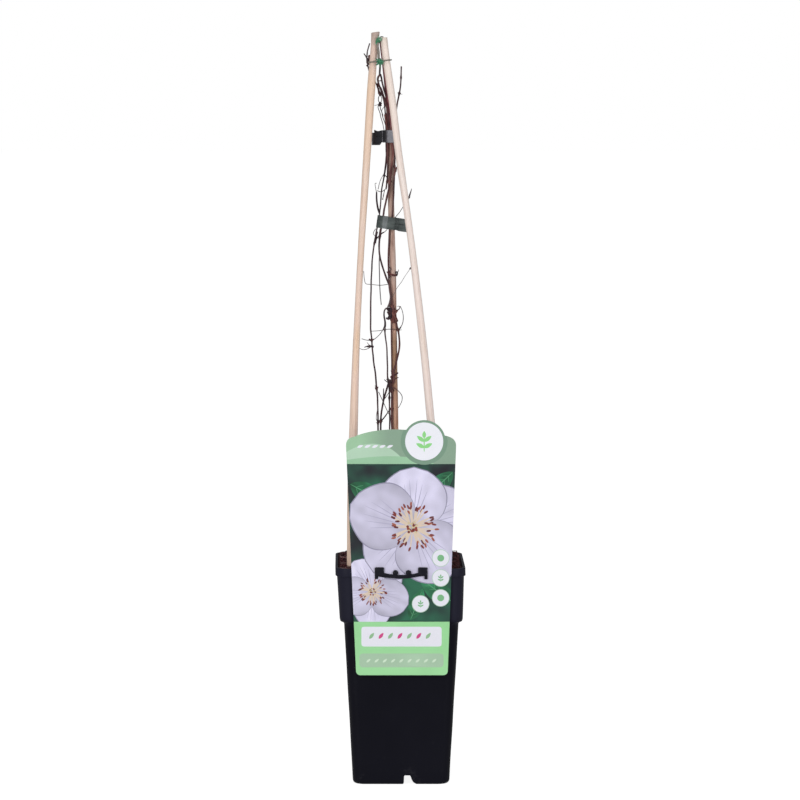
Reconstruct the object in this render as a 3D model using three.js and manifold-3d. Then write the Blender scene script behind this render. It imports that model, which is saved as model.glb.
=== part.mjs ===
// Potted climbing plant: a leafless clematis twined up a tripod of canes in a square nursery pot,
// with its ties, binding tapes and a printed card label hung on the rim. Millimetres, +Z up, label to -Y.
import * as THREE from 'three';
import { mergeVertices } from 'three/addons/utils/BufferGeometryUtils.js';
import Module from 'manifold-3d';

const wasm = await Module();
wasm.setup();

// ---------------------------------------------------------------- driving dimensions
const GAP = 0.3; // air between two pieces that touch
const BITE = 1; // how far a cutter runs past the face that it cuts

const RIM_HALF = 65; // half of the pot's width over its lip
const RIM_Z = 221; // height of the pot's rim
const LIP_DROP = 8.5; // height of the thick lip
const LIP_INNER_HALF = 62.4;
const COLLAR_TOP_HALF = 63.5;
const COLLAR_BOTTOM_HALF = 61.6;
const COLLAR_BOTTOM_Z = 168;
const BODY_TOP_HALF = 56.5;
const BASE_HALF = 48.6;
const WALL = 1.4;
const FOOT_WIDTH = 7.5; // width of the foot that runs round the base
const FOOT_HEIGHT = 10; // height of the raised floor above the ground
const FOOT_RADIUS = 4;
const CORNER_RATIO = 0.2; // corner radius over half width
const CORNER_STEPS = 4;
const DRAIN_HOLE_RADIUS = 5;
const DRAIN_HOLE_SPREAD = 24;

const SOIL_TOP_Z = 218.6;
const SOIL_CROWN = 0.8; // how much the middle stands above the edge

const CANE_LENGTH_BELOW = 63; // length of each cane that is pushed into the soil
const PALE_CANE_RADIUS = 3.75;
const REAR_CANE_RADIUS = 3.2;
const CANE_SIDES = 12;
const CANE_STEP = 40; // length of one straight step along a cane
const SAW_CUT_ANGLE = -0.22; // radians that the sawn top of the left cane slants by

const VINE_SIDES = 6;
const VINE_DEPTH_IN_SOIL = 20;
const VINE_STEP = 9; // length of one straight step along a stem
const SHOOT_STEP = 3; // and along a side shoot

const BAND_SIDES = 36; // corners of a loop round a bundle
const TAPE_THICKNESS = 0.4;
const TAPE_SLACK = 0.4; // air between a tape and what it binds
const STAPLE_WIRE = 0.6;

const TIE_WIRE_RADIUS = 0.7;
const WIRE_STEP = 1.5; // length of one straight step along a bent wire

const LABEL_THICKNESS = 0.6;
const LABEL_CENTRE_X = 0.9;
const LABEL_BOTTOM_Z = 114;
const LABEL_SHOULDER_Z = 344;
const LABEL_TOP_Z = 359;
const LABEL_BOTTOM_HALF = 46.3;
const LABEL_TOP_HALF = 54.3;
const LABEL_CORNER = 5;
const BADGE = { x: 23.5, z: 348.5, radius: 21.2 };

const CLIP_THICKNESS = 1.6;
const CLIP_TONGUE = 1.2; // thickness of the tongues that hook over the rim

// ---------------------------------------------------------------- solids from geometries
function toSolid(geometry) {
  const bare = geometry.clone();
  bare.deleteAttribute('normal');
  bare.deleteAttribute('uv');
  const merged = mergeVertices(bare, 1e-4);
  const triangles = [];
  const index = merged.index.array;
  for (let i = 0; i < index.length; i += 3) {
    const [a, b, c] = [index[i], index[i + 1], index[i + 2]];
    if (a !== b && b !== c && c !== a) {
      triangles.push(a, b, c);
    }
  }
  const mesh = new wasm.Mesh({
    numProp: 3,
    vertProperties: new Float32Array(merged.attributes.position.array),
    triVerts: new Uint32Array(triangles),
  });
  return new wasm.Manifold(mesh);
}

function toGeometry(solid) {
  const mesh = solid.getMesh();
  const geometry = new THREE.BufferGeometry();
  geometry.setAttribute('position', new THREE.BufferAttribute(new Float32Array(mesh.vertProperties), 3));
  geometry.setIndex(new THREE.BufferAttribute(new Uint32Array(mesh.triVerts), 1));
  geometry.computeVertexNormals();
  return geometry;
}

function join(solids) {
  return solids.reduce((whole, piece) => whole.add(piece));
}

function cut(solid, cutters) {
  return cutters.reduce((rest, cutter) => rest.subtract(cutter), solid);
}

function box(low, high) {
  const size = high.map((value, i) => value - low[i]);
  const geometry = new THREE.BoxGeometry(...size);
  geometry.translate(low[0] + size[0] / 2, low[1] + size[1] / 2, low[2] + size[2] / 2);
  return toSolid(geometry);
}

// A plate whose outline is drawn in X and Z, from yFront back to yFront + thickness.
function plate(outline, yFront, thickness) {
  const settings = { depth: thickness, bevelEnabled: false, curveSegments: 6 };
  const geometry = new THREE.ExtrudeGeometry(outline, settings);
  geometry.rotateX(Math.PI / 2);
  geometry.translate(0, yFront + thickness, 0);
  return toSolid(geometry);
}

function roundSection(radius, sides) {
  const section = new THREE.Shape();
  for (let i = 0; i < sides; i += 1) {
    const angle = (2 * Math.PI * i) / sides;
    const point = [radius * Math.cos(angle), radius * Math.sin(angle)];
    if (i === 0) {
      section.moveTo(...point);
    } else {
      section.lineTo(...point);
    }
  }
  section.closePath();
  return section;
}

function tube(points, radius, sides, step) {
  const path = new THREE.CatmullRomCurve3(points, false, 'centripetal');
  const geometry = new THREE.ExtrudeGeometry(roundSection(radius, sides), {
    steps: Math.max(2, Math.round(path.getLength() / step)),
    extrudePath: path,
    bevelEnabled: false,
  });
  return toSolid(geometry);
}

// Height is measured along Z, so a value between two listed points is found by its height.
function pointAtHeight(points, z) {
  const upper = Math.max(1, points.findIndex((point) => point[2] >= z));
  const last = points[points.length - 1];
  const [a, b] = z >= last[2] ? points.slice(-2) : [points[upper - 1], points[upper]];
  const t = (z - a[2]) / (b[2] - a[2]);
  return a.map((value, i) => value + t * (b[i] - value));
}

// ---------------------------------------------------------------- square turned shapes
function squareOutline() {
  const outline = [];
  const inset = 1 - CORNER_RATIO;
  const corners = [[1, -1], [1, 1], [-1, 1], [-1, -1]];
  corners.forEach(([sx, sy], corner) => {
    for (let i = 0; i <= CORNER_STEPS; i += 1) {
      const angle = (Math.PI / 2) * (corner - 1 + i / CORNER_STEPS);
      outline.push([
        sx * inset + CORNER_RATIO * Math.cos(angle),
        sy * inset + CORNER_RATIO * Math.sin(angle),
      ]);
    }
  });
  return outline;
}

// Turns a profile of [half width, height] round the Z axis, then squares each round section.
function squareTurned(profile) {
  const outline = squareOutline();
  const count = outline.length;
  const points = profile.map(([half, z]) => new THREE.Vector2(half, z));
  const geometry = new THREE.LatheGeometry(points, count);
  geometry.rotateX(Math.PI / 2);
  const position = geometry.attributes.position;
  for (let i = 0; i < position.count; i += 1) {
    const x = position.getX(i);
    const y = position.getY(i);
    const half = Math.hypot(x, y);
    const turn = Math.round((Math.atan2(x, -y) / (2 * Math.PI)) * count);
    const [ux, uy] = outline[(turn + count) % count];
    position.setXY(i, half * ux, half * uy);
  }
  const solid = toSolid(geometry);
  return solid.volume() > 0 ? solid : toSolid(flipped(geometry));
}

function flipped(geometry) {
  const copy = geometry.clone();
  const index = copy.index;
  for (let i = 0; i < index.count; i += 3) {
    const first = index.getX(i);
    index.setX(i, index.getX(i + 2));
    index.setX(i + 2, first);
  }
  return copy;
}

// ---------------------------------------------------------------- pot
function drainNotch(quarterTurns) {
  const notch = new THREE.Shape();
  notch.moveTo(1.5, -BITE);
  notch.lineTo(3.2, 1.5);
  notch.lineTo(3.6, FOOT_HEIGHT - 0.6);
  notch.lineTo(9.6, FOOT_HEIGHT - 0.6);
  notch.lineTo(12, 3.5);
  notch.lineTo(16.5, -BITE);
  notch.closePath();
  const reach = FOOT_WIDTH + 3;
  const cutter = plate(notch, -BASE_HALF - BITE, reach);
  return cutter.rotate([0, 0, 90 * quarterTurns]);
}

function drainHole(x, y) {
  const geometry = new THREE.CylinderGeometry(DRAIN_HOLE_RADIUS, DRAIN_HOLE_RADIUS, WALL + 2 * BITE, 12);
  geometry.rotateX(Math.PI / 2);
  geometry.translate(x, y, FOOT_HEIGHT + WALL / 2);
  return toSolid(geometry);
}

function pot() {
  const lipBottom = RIM_Z - LIP_DROP;
  const footInner = BASE_HALF - FOOT_WIDTH;
  const profile = [
    [0, FOOT_HEIGHT],
    [footInner - 3, FOOT_HEIGHT],
    [footInner - 1, FOOT_HEIGHT - 1.5],
    [footInner, 0],
    [BASE_HALF - FOOT_RADIUS, 0],
    [BASE_HALF - FOOT_RADIUS * 0.3, FOOT_RADIUS * 0.3],
    [BASE_HALF, FOOT_RADIUS],
    [BODY_TOP_HALF, COLLAR_BOTTOM_Z - 4],
    [COLLAR_BOTTOM_HALF - 1.2, COLLAR_BOTTOM_Z - 2],
    [COLLAR_BOTTOM_HALF, COLLAR_BOTTOM_Z + 1],
    [COLLAR_TOP_HALF, lipBottom],
    [RIM_HALF, lipBottom + 0.6],
    [RIM_HALF, RIM_Z - 0.8],
    [RIM_HALF - 0.8, RIM_Z],
    [LIP_INNER_HALF, RIM_Z],
    [COLLAR_TOP_HALF - WALL, lipBottom],
    [COLLAR_BOTTOM_HALF - WALL, COLLAR_BOTTOM_Z + 1.6],
    [BODY_TOP_HALF - WALL, COLLAR_BOTTOM_Z - 3],
    [BASE_HALF - WALL, FOOT_RADIUS + 1],
    [BASE_HALF - FOOT_RADIUS, WALL],
    [footInner + WALL, WALL],
    [footInner - 1 + WALL, FOOT_HEIGHT],
    [footInner - 3, FOOT_HEIGHT + WALL],
    [0, FOOT_HEIGHT + WALL],
  ];
  const notches = [0, 1, 2, 3].map(drainNotch);
  const spread = DRAIN_HOLE_SPREAD;
  const holes = [[0, 0], [spread, spread], [-spread, spread], [-spread, -spread], [spread, -spread]];
  return cut(squareTurned(profile), [...notches, ...holes.map(([x, y]) => drainHole(x, y))]);
}

// ---------------------------------------------------------------- canes
const LEFT_CANE = [
  [-49.4, -32, 221], [-49, -28.5, 286], [-47.6, -24, 361], [-45.1, -19.5, 438],
  [-40.6, -13.5, 534], [-34.1, -8.3, 630], [-28.5, -3.4, 713], [-25.2, -1, 753.3],
];
const RIGHT_CANE = [
  [43.1, -32, 221], [30.1, -24.5, 366], [23, -20.5, 438], [11.5, -15, 534],
  [5, -12, 582], [-2.5, -9.5, 630], [-8.5, -6.8, 686], [-14.4, -4.8, 729], [-17, -3.6, 749.5],
];
const REAR_CANE = [
  [-3.6, 42, 217], [-5.4, 32.5, 355], [-6.6, 27.5, 430], [-8, 21.3, 522], [-9.4, 17.8, 572],
  [-9.7, 16.3, 595], [-9.9, 13.4, 636], [-11.6, 11.4, 668], [-14.5, 9.4, 702], [-18.4, 6.6, 744],
];

// The part in the soil carries on in the direction of the lowest stretch.
function withBuriedEnd(points, depth) {
  const bottom = pointAtHeight(points, points[0][2] - depth);
  return [bottom, ...points];
}

function vectors(points) {
  return points.map((point) => new THREE.Vector3(...point));
}

function cane(points, radius, depth = CANE_LENGTH_BELOW) {
  return tube(vectors(withBuriedEnd(points, depth)), radius, CANE_SIDES, CANE_STEP);
}

// The top of the left cane is sawn off at a slant.
function leftCane() {
  const [x, y, z] = LEFT_CANE[LEFT_CANE.length - 1];
  const size = 8 * PALE_CANE_RADIUS;
  const saw = new THREE.BoxGeometry(size, size, size);
  saw.translate(0, 0, size / 2);
  saw.rotateY(SAW_CUT_ANGLE);
  saw.translate(x, y, z - 1);
  return cane(LEFT_CANE, PALE_CANE_RADIUS).subtract(toSolid(saw));
}

// ---------------------------------------------------------------- vines
// Each route point is [x, z, how far it lies in front (-) or behind (+) the rear cane's middle].
function vinePoints(route, radius) {
  const reach = REAR_CANE_RADIUS + radius + 2 * GAP;
  return route.map(([x, z, offset]) => {
    const middle = pointAtHeight(REAR_CANE, z);
    const away = new THREE.Vector2(x - middle[0], offset);
    if (away.length() < reach) {
      away.setLength(reach);
    }
    return new THREE.Vector3(middle[0] + away.x, middle[1] + away.y, z);
  });
}

function vine(shoots) {
  return join(shoots.map(({ route, radius }, i) => {
    const step = i === 0 ? VINE_STEP : SHOOT_STEP;
    return tube(vinePoints(route, radius), radius, VINE_SIDES, step);
  }));
}

const SOIL_ENTRY_Z = SOIL_TOP_Z - VINE_DEPTH_IN_SOIL;

const OUTER_VINE = [
  {
    radius: 0.95,
    route: [
      [-15, SOIL_ENTRY_Z, -8], [-16.5, 258, -9], [-20, 300, -9], [-22, 350, -7], [-22.5, 369, -7],
      [-24.5, 400, -7], [-28.5, 433, -7], [-30, 458, -7], [-30, 484, -7], [-28, 530, -6],
      [-24.2, 553, -4], [-22, 565, -3], [-19, 594, -3], [-16.6, 609, -2], [-14.4, 626, -2], [-14.8, 645, -2],
      [-17.5, 659, -3], [-21.5, 675, -3], [-21.5, 690, -2], [-25, 703, 0], [-30, 711, 0],
      [-33, 722, 1], [-33.5, 732, 1], [-31, 742, 2],
    ],
  },
  { radius: 0.6, route: [[-28.5, 433, -7], [-32, 434.5, -9], [-36.5, 435, -11]] },
  { radius: 0.5, route: [[-29.5, 443, -7], [-34, 443.5, -14], [-39, 445.5, -22]] },
  { radius: 0.6, route: [[-21.2, 572, -3], [-23, 577, -5], [-24, 584, -6], [-24, 593, -6]] },
];

const SPIRAL_VINE = [
  {
    radius: 1.1,
    route: [
      [-4.5, SOIL_ENTRY_Z, -7], [-6, 278, -6], [-7.5, 350, -5], [-9.2, 366, -4.5], [-8.5, 385, -4.5],
      [-9, 402, -4.5], [-4.5, 420, -5], [-1, 436, -1.5], [-2.3, 453, 0], [-1.5, 466, -1], [-4.5, 474, -5],
      [-8.5, 485, -5], [-11, 502, -4], [-12.3, 525, -3], [-11.6, 545, -3.8], [-10.6, 556, -4.6],
      [-8.3, 568, -5], [-7.5, 580, -4.8], [-6.8, 593, -4.4], [-5.8, 620, -4.2], [-5.3, 640, -3.5],
      [-6.5, 660, 0], [-3.5, 680, 0], [0, 700, -1], [0.8, 719, -1],
    ],
  },
  {
    radius: 0.9,
    route: [
      [-11, 498, -4.5], [-14.5, 507, -6], [-18.5, 519, -6.5], [-21.3, 532, -6.5], [-21, 548, -6.5],
      [-18.5, 562, -6.5], [-16.3, 576, -6.5], [-11.6, 597, -7], [-9.3, 617, -7.3], [-7.6, 634, -7],
      [-11, 653, -6], [-14.8, 682, -5.5], [-20, 700, -5.5], [-20.8, 714, -6.5], [-20.6, 727, -6.5],
    ],
  },
  { radius: 0.7, route: [[-21.2, 530, -6.5], [-21.5, 517, -6.8], [-20.5, 491, -7], [-19.5, 479, -7]] },
  {
    radius: 0.5,
    route: [[-8.5, 486, -5], [-3.5, 495, -8.5], [0, 500, -13], [4.5, 507.5, -21], [8.3, 513, -28]],
  },
  {
    radius: 0.45,
    route: [
      [-11, 500, -4.5], [-20, 499, -9], [-29.5, 500, -11], [-35, 501, -15], [-36.5, 507, -19],
      [-37, 514, -21],
    ],
  },
  {
    radius: 0.45,
    route: [
      [-2.5, 454, 0], [-3.3, 454, -3.6], [-7, 454.5, -5.2], [-14, 454.5, -6.5], [-21, 453, -8],
      [-29.3, 452.5, -9.5],
    ],
  },
  { radius: 0.45, route: [[-2.3, 455, 0], [1.5, 458, -1], [2.8, 465, -2], [2, 472, -3], [0, 477, -4]] },
  { radius: 0.5, route: [[-4.5, 474, -5], [-1, 475.5, -6], [0.8, 478.5, -6]] },
  { radius: 0.5, route: [[-11.7, 514, -3.5], [-8.5, 512, -4.8], [-4.6, 511.5, -4.6], [-2.8, 514, -3]] },
  {
    radius: 0.45,
    route: [
      [-8.7, 396, -4.7], [-4.5, 395, -6], [0, 390, -6], [1.8, 385, -5], [0.8, 379, -5], [-1.8, 373.5, -4],
    ],
  },
  { radius: 0.5, route: [[-9, 402, -4.5], [-4.5, 404, -5.5], [-2.5, 407, -5]] },
];

const INNER_VINE = [
  {
    radius: 0.9,
    route: [
      [-10.5, SOIL_ENTRY_Z, -2], [-11.5, 278, -1], [-11.8, 350, -0.5], [-11.3, 372, 0], [-11.3, 390, 0],
      [-13, 404, 0], [-13.2, 415, -1], [-14, 435, -1], [-16, 453, -2], [-16.8, 468, -3], [-15.5, 475.5, -3.5],
      [-12.6, 478, -3.5],
    ],
  },
  { radius: 0.9, route: [[-12.6, 478, -3.5], [-12, 474, -4], [-13.2, 469, -4.5], [-14.5, 467, -4.5]] },
  { radius: 0.6, route: [[-16, 453, -2], [-18.5, 448, -3.5], [-22, 445, -5], [-26.5, 442.5, -6]] },
  { radius: 0.5, route: [[-13, 404, 0], [-15.5, 406, -2], [-17.5, 408.5, -4]] },
];

const SHORT_VINE = [
  {
    radius: 0.95,
    route: [
      [-18.5, SOIL_ENTRY_Z, -13], [-19.3, 278, -12], [-19.6, 325, -11], [-19, 349, -9], [-18.8, 367, -6],
      [-17.5, 382, -4], [-16, 389, -3.5], [-14.2, 396, -3.5],
    ],
  },
  { radius: 0.6, route: [[-17.3, 384, -4], [-17.2, 390, -5.5], [-17.5, 397, -6]] },
  { radius: 0.45, route: [[-17.8, 382, -4], [-19.5, 388, -5.5], [-21.5, 393, -6.5]] },
  { radius: 0.45, route: [[-18.8, 366, -6], [-15.5, 370, -6.5], [-11.8, 375.5, -8]] },
];

// ---------------------------------------------------------------- loops round a bundle
// The outline that a taut band takes round round things: circles are { x, y, radius }.
function bandOutline(circles, air) {
  const outline = [];
  for (let i = 0; i < BAND_SIDES; i += 1) {
    const angle = (2 * Math.PI * i) / BAND_SIDES;
    const normal = [Math.cos(angle), Math.sin(angle)];
    const support = (circle) => circle.x * normal[0] + circle.y * normal[1] + circle.radius;
    const outer = circles.reduce((best, circle) => (support(circle) > support(best) ? circle : best));
    const reach = outer.radius + air;
    outline.push(new THREE.Vector2(outer.x + reach * normal[0], outer.y + reach * normal[1]));
  }
  return outline;
}

// A closed band round the circles, centred on height z.
function bandRing(circles, { air, thickness, z, height }) {
  const outer = new THREE.Shape(bandOutline(circles, air + thickness));
  outer.holes.push(new THREE.Path(bandOutline(circles, air)));
  const geometry = new THREE.ExtrudeGeometry(outer, { depth: height, bevelEnabled: false });
  geometry.translate(0, 0, z - height / 2);
  return toSolid(geometry);
}

function circleAt(points, z, radius) {
  const [x, y] = pointAtHeight(points, z);
  return { x, y, radius };
}

function circlesThrough(bound, heights) {
  return bound.flatMap(({ points, radius }) => heights.map((z) => circleAt(points, z, radius)));
}

function vineLine(shoot) {
  return vinePoints(shoot.route, shoot.radius).map((point) => point.toArray());
}

const BOUND_VINES = [
  { points: REAR_CANE, radius: REAR_CANE_RADIUS },
  { points: vineLine(OUTER_VINE[0]), radius: OUTER_VINE[0].radius },
  { points: vineLine(SPIRAL_VINE[0]), radius: SPIRAL_VINE[0].radius },
  { points: vineLine(SPIRAL_VINE[1]), radius: SPIRAL_VINE[1].radius },
];

// ---------------------------------------------------------------- binding tapes
// side is -1 where the stapled ends stand out to the left, +1 to the right. The two ends lie on each
// other at tailY, the front one first, and each stands out by its length and sits higher by its rise.
const UPPER_TAPE = {
  z: 648.2,
  height: 12.6,
  tilt: 0,
  side: -1,
  tailY: 8.2,
  ends: [{ length: 9, rise: 1.3 }, { length: 11.4, rise: -1.8 }],
};
const LOWER_TAPE = {
  z: 561.5,
  height: 12.4,
  tilt: 0.14,
  side: 1,
  tailY: 18.5,
  ends: [{ length: 10.5, rise: 0 }, { length: 11.2, rise: -0.8 }],
};
const STAPLE_WIDTH = 6;
const STAPLE_INSET = 1.4; // from the ring to the nearer leg
const STAPLE_CLINCH = 0.7; // half of the space between its bent ends
const TAPE_END_OVERLAP = 1.2; // how far a loose end reaches into the ring

// Each tape is made upright, then tilted about the point where it crosses the rear cane.
function tapePivot(tape) {
  return pointAtHeight(REAR_CANE, tape.z)[0];
}

function untilted(points, tape) {
  const pivotX = tapePivot(tape);
  return points.map(([x, y, z]) => {
    const dx = x - pivotX;
    const dz = z - tape.z;
    return [
      pivotX + dx * Math.cos(tape.tilt) - dz * Math.sin(tape.tilt),
      y,
      tape.z + dx * Math.sin(tape.tilt) + dz * Math.cos(tape.tilt),
    ];
  });
}

function tapeCircles(tape) {
  const half = tape.height / 2;
  const bound = BOUND_VINES.map(({ points, radius }) => ({ points: untilted(points, tape), radius }));
  return circlesThrough(bound, [tape.z - half, tape.z, tape.z + half]);
}

function tapeRingEdge(tape) {
  const edges = tapeCircles(tape).map((circle) => circle.x + tape.side * (circle.radius + TAPE_SLACK));
  return tape.side > 0 ? Math.max(...edges) : Math.min(...edges);
}

function tilted(solid, pivotX, { z, tilt }) {
  return solid
    .translate([-pivotX, 0, -z])
    .rotate([0, THREE.MathUtils.radToDeg(tilt), 0])
    .translate([pivotX, 0, z]);
}

function stapleLegs(tape) {
  const middle = tapeRingEdge(tape) + tape.side * (STAPLE_INSET + STAPLE_WIDTH / 2);
  return [middle - STAPLE_WIDTH / 2, middle + STAPLE_WIDTH / 2];
}

function tapeEnd(tape, layer) {
  const { length, rise } = tape.ends[layer];
  const span = [tapeRingEdge(tape) - tape.side * TAPE_END_OVERLAP, tapeRingEdge(tape) + tape.side * length];
  const yFront = tape.tailY + (layer - 1) * TAPE_THICKNESS;
  const bottom = tape.z - tape.height / 2 + rise;
  return box(
    [Math.min(...span), yFront, bottom],
    [Math.max(...span), yFront + TAPE_THICKNESS, bottom + tape.height],
  );
}

function tape(spec) {
  const insideHeight = spec.height + 6 * BITE;
  const inside = toSolid(
    new THREE.ExtrudeGeometry(new THREE.Shape(bandOutline(tapeCircles(spec), TAPE_SLACK)), {
      depth: insideHeight,
      bevelEnabled: false,
    }).translate(0, 0, spec.z - insideHeight / 2),
  );
  const reach = STAPLE_WIRE / 2 + GAP;
  const holes = stapleLegs(spec).map((x) => box(
    [x - reach, spec.tailY - TAPE_THICKNESS - BITE, spec.z - reach],
    [x + reach, spec.tailY + TAPE_THICKNESS + BITE, spec.z + reach],
  ));
  const ring = bandRing(tapeCircles(spec), {
    air: TAPE_SLACK,
    thickness: TAPE_THICKNESS,
    z: spec.z,
    height: spec.height,
  });
  const ends = [0, 1].map((layer) => tapeEnd(spec, layer).subtract(inside));
  const body = join([ring, ...ends]);
  return tilted(cut(body, holes), tapePivot(spec), spec);
}

function staple(spec) {
  const [left, right] = stapleLegs(spec);
  const half = STAPLE_WIRE / 2;
  const front = spec.tailY - TAPE_THICKNESS - GAP;
  const back = spec.tailY + TAPE_THICKNESS + GAP;
  const [bottom, top] = [spec.z - half, spec.z + half];
  const crown = box([left - half, front - STAPLE_WIRE, bottom], [right + half, front, top]);
  const legs = [left, right].map((x) => (
    box([x - half, front - half, bottom], [x + half, back + STAPLE_WIRE, top])
  ));
  const clinchReach = STAPLE_WIDTH / 2 - STAPLE_CLINCH;
  const clinchSpans = [[left - half, left + clinchReach], [right - clinchReach, right + half]];
  const clinches = clinchSpans.map(([a, b]) => box([a, back, bottom], [b, back + STAPLE_WIRE, top]));
  return tilted(join([crown, ...legs, ...clinches]), tapePivot(spec), spec);
}

// ---------------------------------------------------------------- wire ties
const TOP_KNOT = [-22.2, -7.7, 744.8];
// The top tie's wire hooks over the right cane's top, then comes back between the two pale canes.
const TOP_TIE_HOOK = [
  [-22, -8, 745.3], [-19.6, -8.3, 747.6], [-17.9, -8.3, 750.6], [-17, -5.6, 751.1], [-16.6, -2.6, 751],
  [-16.5, 0.9, 750], [-16.6, 1.7, 748], [-17.4, 1.6, 745.6], [-19.8, 1, 744.2], [-21.1, -1.6, 743.6],
  [-21.3, -4.6, 743.6], [-21.8, -7.7, 744],
];
const TOP_TIE_TAIL = [[-22.2, -7.7, 744.8], [-22.8, -8.3, 738.6], [-22, -8.6, 733.6], [-21.8, -9.4, 726.9]];
const SECOND_TIE = { z: 723.2, x: -20.6, tilt: -0.14 };
const KNOT_STANDS_OUT = 0.9; // how far a knot's middle lies in front of its wire
const KNOT_RADII = [3.3, 1.9, 2.9];
const TIE_SLACK = 0.5; // air between a tie and the canes

function tieLoop(circles, z) {
  const across = 2 * TIE_WIRE_RADIUS;
  return bandRing(circles, { air: TIE_SLACK, thickness: across, z, height: across });
}

// The middle of the wire's front run, where its ends are twisted together.
function frontOf(circles) {
  const middles = bandOutline(circles, TIE_SLACK + TIE_WIRE_RADIUS);
  return Math.min(...middles.map((point) => point.y));
}

function knot(x, y, z) {
  const ball = new THREE.SphereGeometry(1, 10, 6);
  ball.scale(...KNOT_RADII);
  ball.translate(x, y, z);
  return toSolid(ball);
}

function wire(points) {
  return tube(vectors(points), TIE_WIRE_RADIUS, VINE_SIDES, WIRE_STEP);
}

function topTie() {
  return join([knot(...TOP_KNOT), wire(TOP_TIE_HOOK), wire(TOP_TIE_TAIL)]);
}

function secondTie() {
  const { x, z } = SECOND_TIE;
  const circles = circlesThrough(
    [
      { points: LEFT_CANE, radius: PALE_CANE_RADIUS },
      { points: RIGHT_CANE, radius: PALE_CANE_RADIUS },
      { points: REAR_CANE, radius: REAR_CANE_RADIUS },
    ],
    [z - TIE_WIRE_RADIUS, z + TIE_WIRE_RADIUS],
  );
  const y = frontOf(circles) - KNOT_STANDS_OUT;
  const end = [[x, y, z], [x + 3, y - 0.8, z + 2], [x + 4.5, y - 0.8, z + 4]];
  const loop = tilted(tieLoop(circles, z), x, SECOND_TIE);
  return join([loop, knot(x, y, z), wire(end)]);
}

// ---------------------------------------------------------------- label and its clip
const LABEL_BACK_Y = -RIM_HALF - GAP;
const LABEL_FRONT_Y = LABEL_BACK_Y - LABEL_THICKNESS;
const CLIP_BACK_Y = LABEL_FRONT_Y - GAP;
const CLIP_FRONT_Y = CLIP_BACK_Y - CLIP_THICKNESS;
const TONGUE_BOTTOM_Z = RIM_Z + GAP;
const TONGUE_TOP_Z = TONGUE_BOTTOM_Z + CLIP_TONGUE;
const TONGUES = [[-24.4, -17.4], [18.7, 25.7]];
const HOOK_BACK_Y = -(COLLAR_TOP_HALF - WALL) + GAP + CLIP_TONGUE;
const HOOK_BOTTOM_Z = RIM_Z - LIP_DROP + 0.5;
const BUTTON = { xs: [-5, 7.9], z: 217.4, radius: 2.7, height: 1 };

function labelOutline() {
  const left = LABEL_CENTRE_X - LABEL_BOTTOM_HALF;
  const right = LABEL_CENTRE_X + LABEL_BOTTOM_HALF;
  const topLeft = LABEL_CENTRE_X - LABEL_TOP_HALF;
  const topRight = LABEL_CENTRE_X + LABEL_TOP_HALF;
  const archEnd = LABEL_SHOULDER_Z + 9.5;
  const outline = new THREE.Shape();
  outline.moveTo(left + LABEL_CORNER, LABEL_BOTTOM_Z);
  outline.lineTo(right - LABEL_CORNER, LABEL_BOTTOM_Z);
  outline.quadraticCurveTo(right, LABEL_BOTTOM_Z, right, LABEL_BOTTOM_Z + LABEL_CORNER);
  outline.lineTo(topRight, LABEL_SHOULDER_Z);
  outline.quadraticCurveTo(topRight + 0.3, archEnd - 1.5, topRight - 9, archEnd);
  outline.quadraticCurveTo(LABEL_CENTRE_X, 2 * LABEL_TOP_Z - archEnd, topLeft + 9, archEnd);
  outline.quadraticCurveTo(topLeft - 0.3, archEnd - 1.5, topLeft, LABEL_SHOULDER_Z);
  outline.lineTo(left, LABEL_BOTTOM_Z + LABEL_CORNER);
  outline.quadraticCurveTo(left, LABEL_BOTTOM_Z, left + LABEL_CORNER, LABEL_BOTTOM_Z);
  return outline;
}

function label() {
  const badge = new THREE.Shape();
  badge.absarc(BADGE.x, BADGE.z, BADGE.radius, 0, 2 * Math.PI, false);
  const card = join([
    plate(labelOutline(), LABEL_FRONT_Y, LABEL_THICKNESS),
    plate(badge, LABEL_FRONT_Y, LABEL_THICKNESS),
  ]);
  const slots = TONGUES.map(([a, b]) => box(
    [a - GAP, LABEL_FRONT_Y - BITE, TONGUE_BOTTOM_Z - GAP],
    [b + GAP, LABEL_BACK_Y + BITE, TONGUE_TOP_Z + GAP],
  ));
  return cut(card, slots);
}

function clipFront() {
  const outline = new THREE.Shape();
  outline.moveTo(-25.6, 211.2);
  outline.lineTo(-22.6, 211.2);
  outline.lineTo(-22, 213.8);
  outline.quadraticCurveTo(0.6, 209.6, 17.5, 213.6);
  outline.lineTo(23.6, 214.4);
  outline.lineTo(23.8, 211);
  outline.lineTo(26.9, 211);
  outline.lineTo(26.9, TONGUE_TOP_Z);
  outline.lineTo(17.5, TONGUE_TOP_Z);
  outline.lineTo(17.5, 217.2);
  outline.quadraticCurveTo(0.6, 213.2, -16.3, 217.2);
  outline.lineTo(-16.3, TONGUE_TOP_Z);
  outline.lineTo(-25.6, TONGUE_TOP_Z);
  outline.closePath();
  return plate(outline, CLIP_FRONT_Y, CLIP_THICKNESS);
}

function clipButton(x) {
  const disc = new THREE.Shape();
  disc.absarc(x, BUTTON.z, BUTTON.radius, 0, 2 * Math.PI, false);
  return plate(disc, CLIP_FRONT_Y - BUTTON.height, CLIP_THICKNESS + BUTTON.height);
}

function clipTongue([a, b]) {
  const over = box([a, CLIP_FRONT_Y + 0.4, TONGUE_BOTTOM_Z], [b, HOOK_BACK_Y, TONGUE_TOP_Z]);
  const hook = box([a, HOOK_BACK_Y - CLIP_TONGUE, HOOK_BOTTOM_Z], [b, HOOK_BACK_Y, TONGUE_TOP_Z]);
  return over.add(hook);
}

function labelClip() {
  return join([clipFront(), ...BUTTON.xs.map(clipButton), ...TONGUES.map(clipTongue)]);
}

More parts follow.
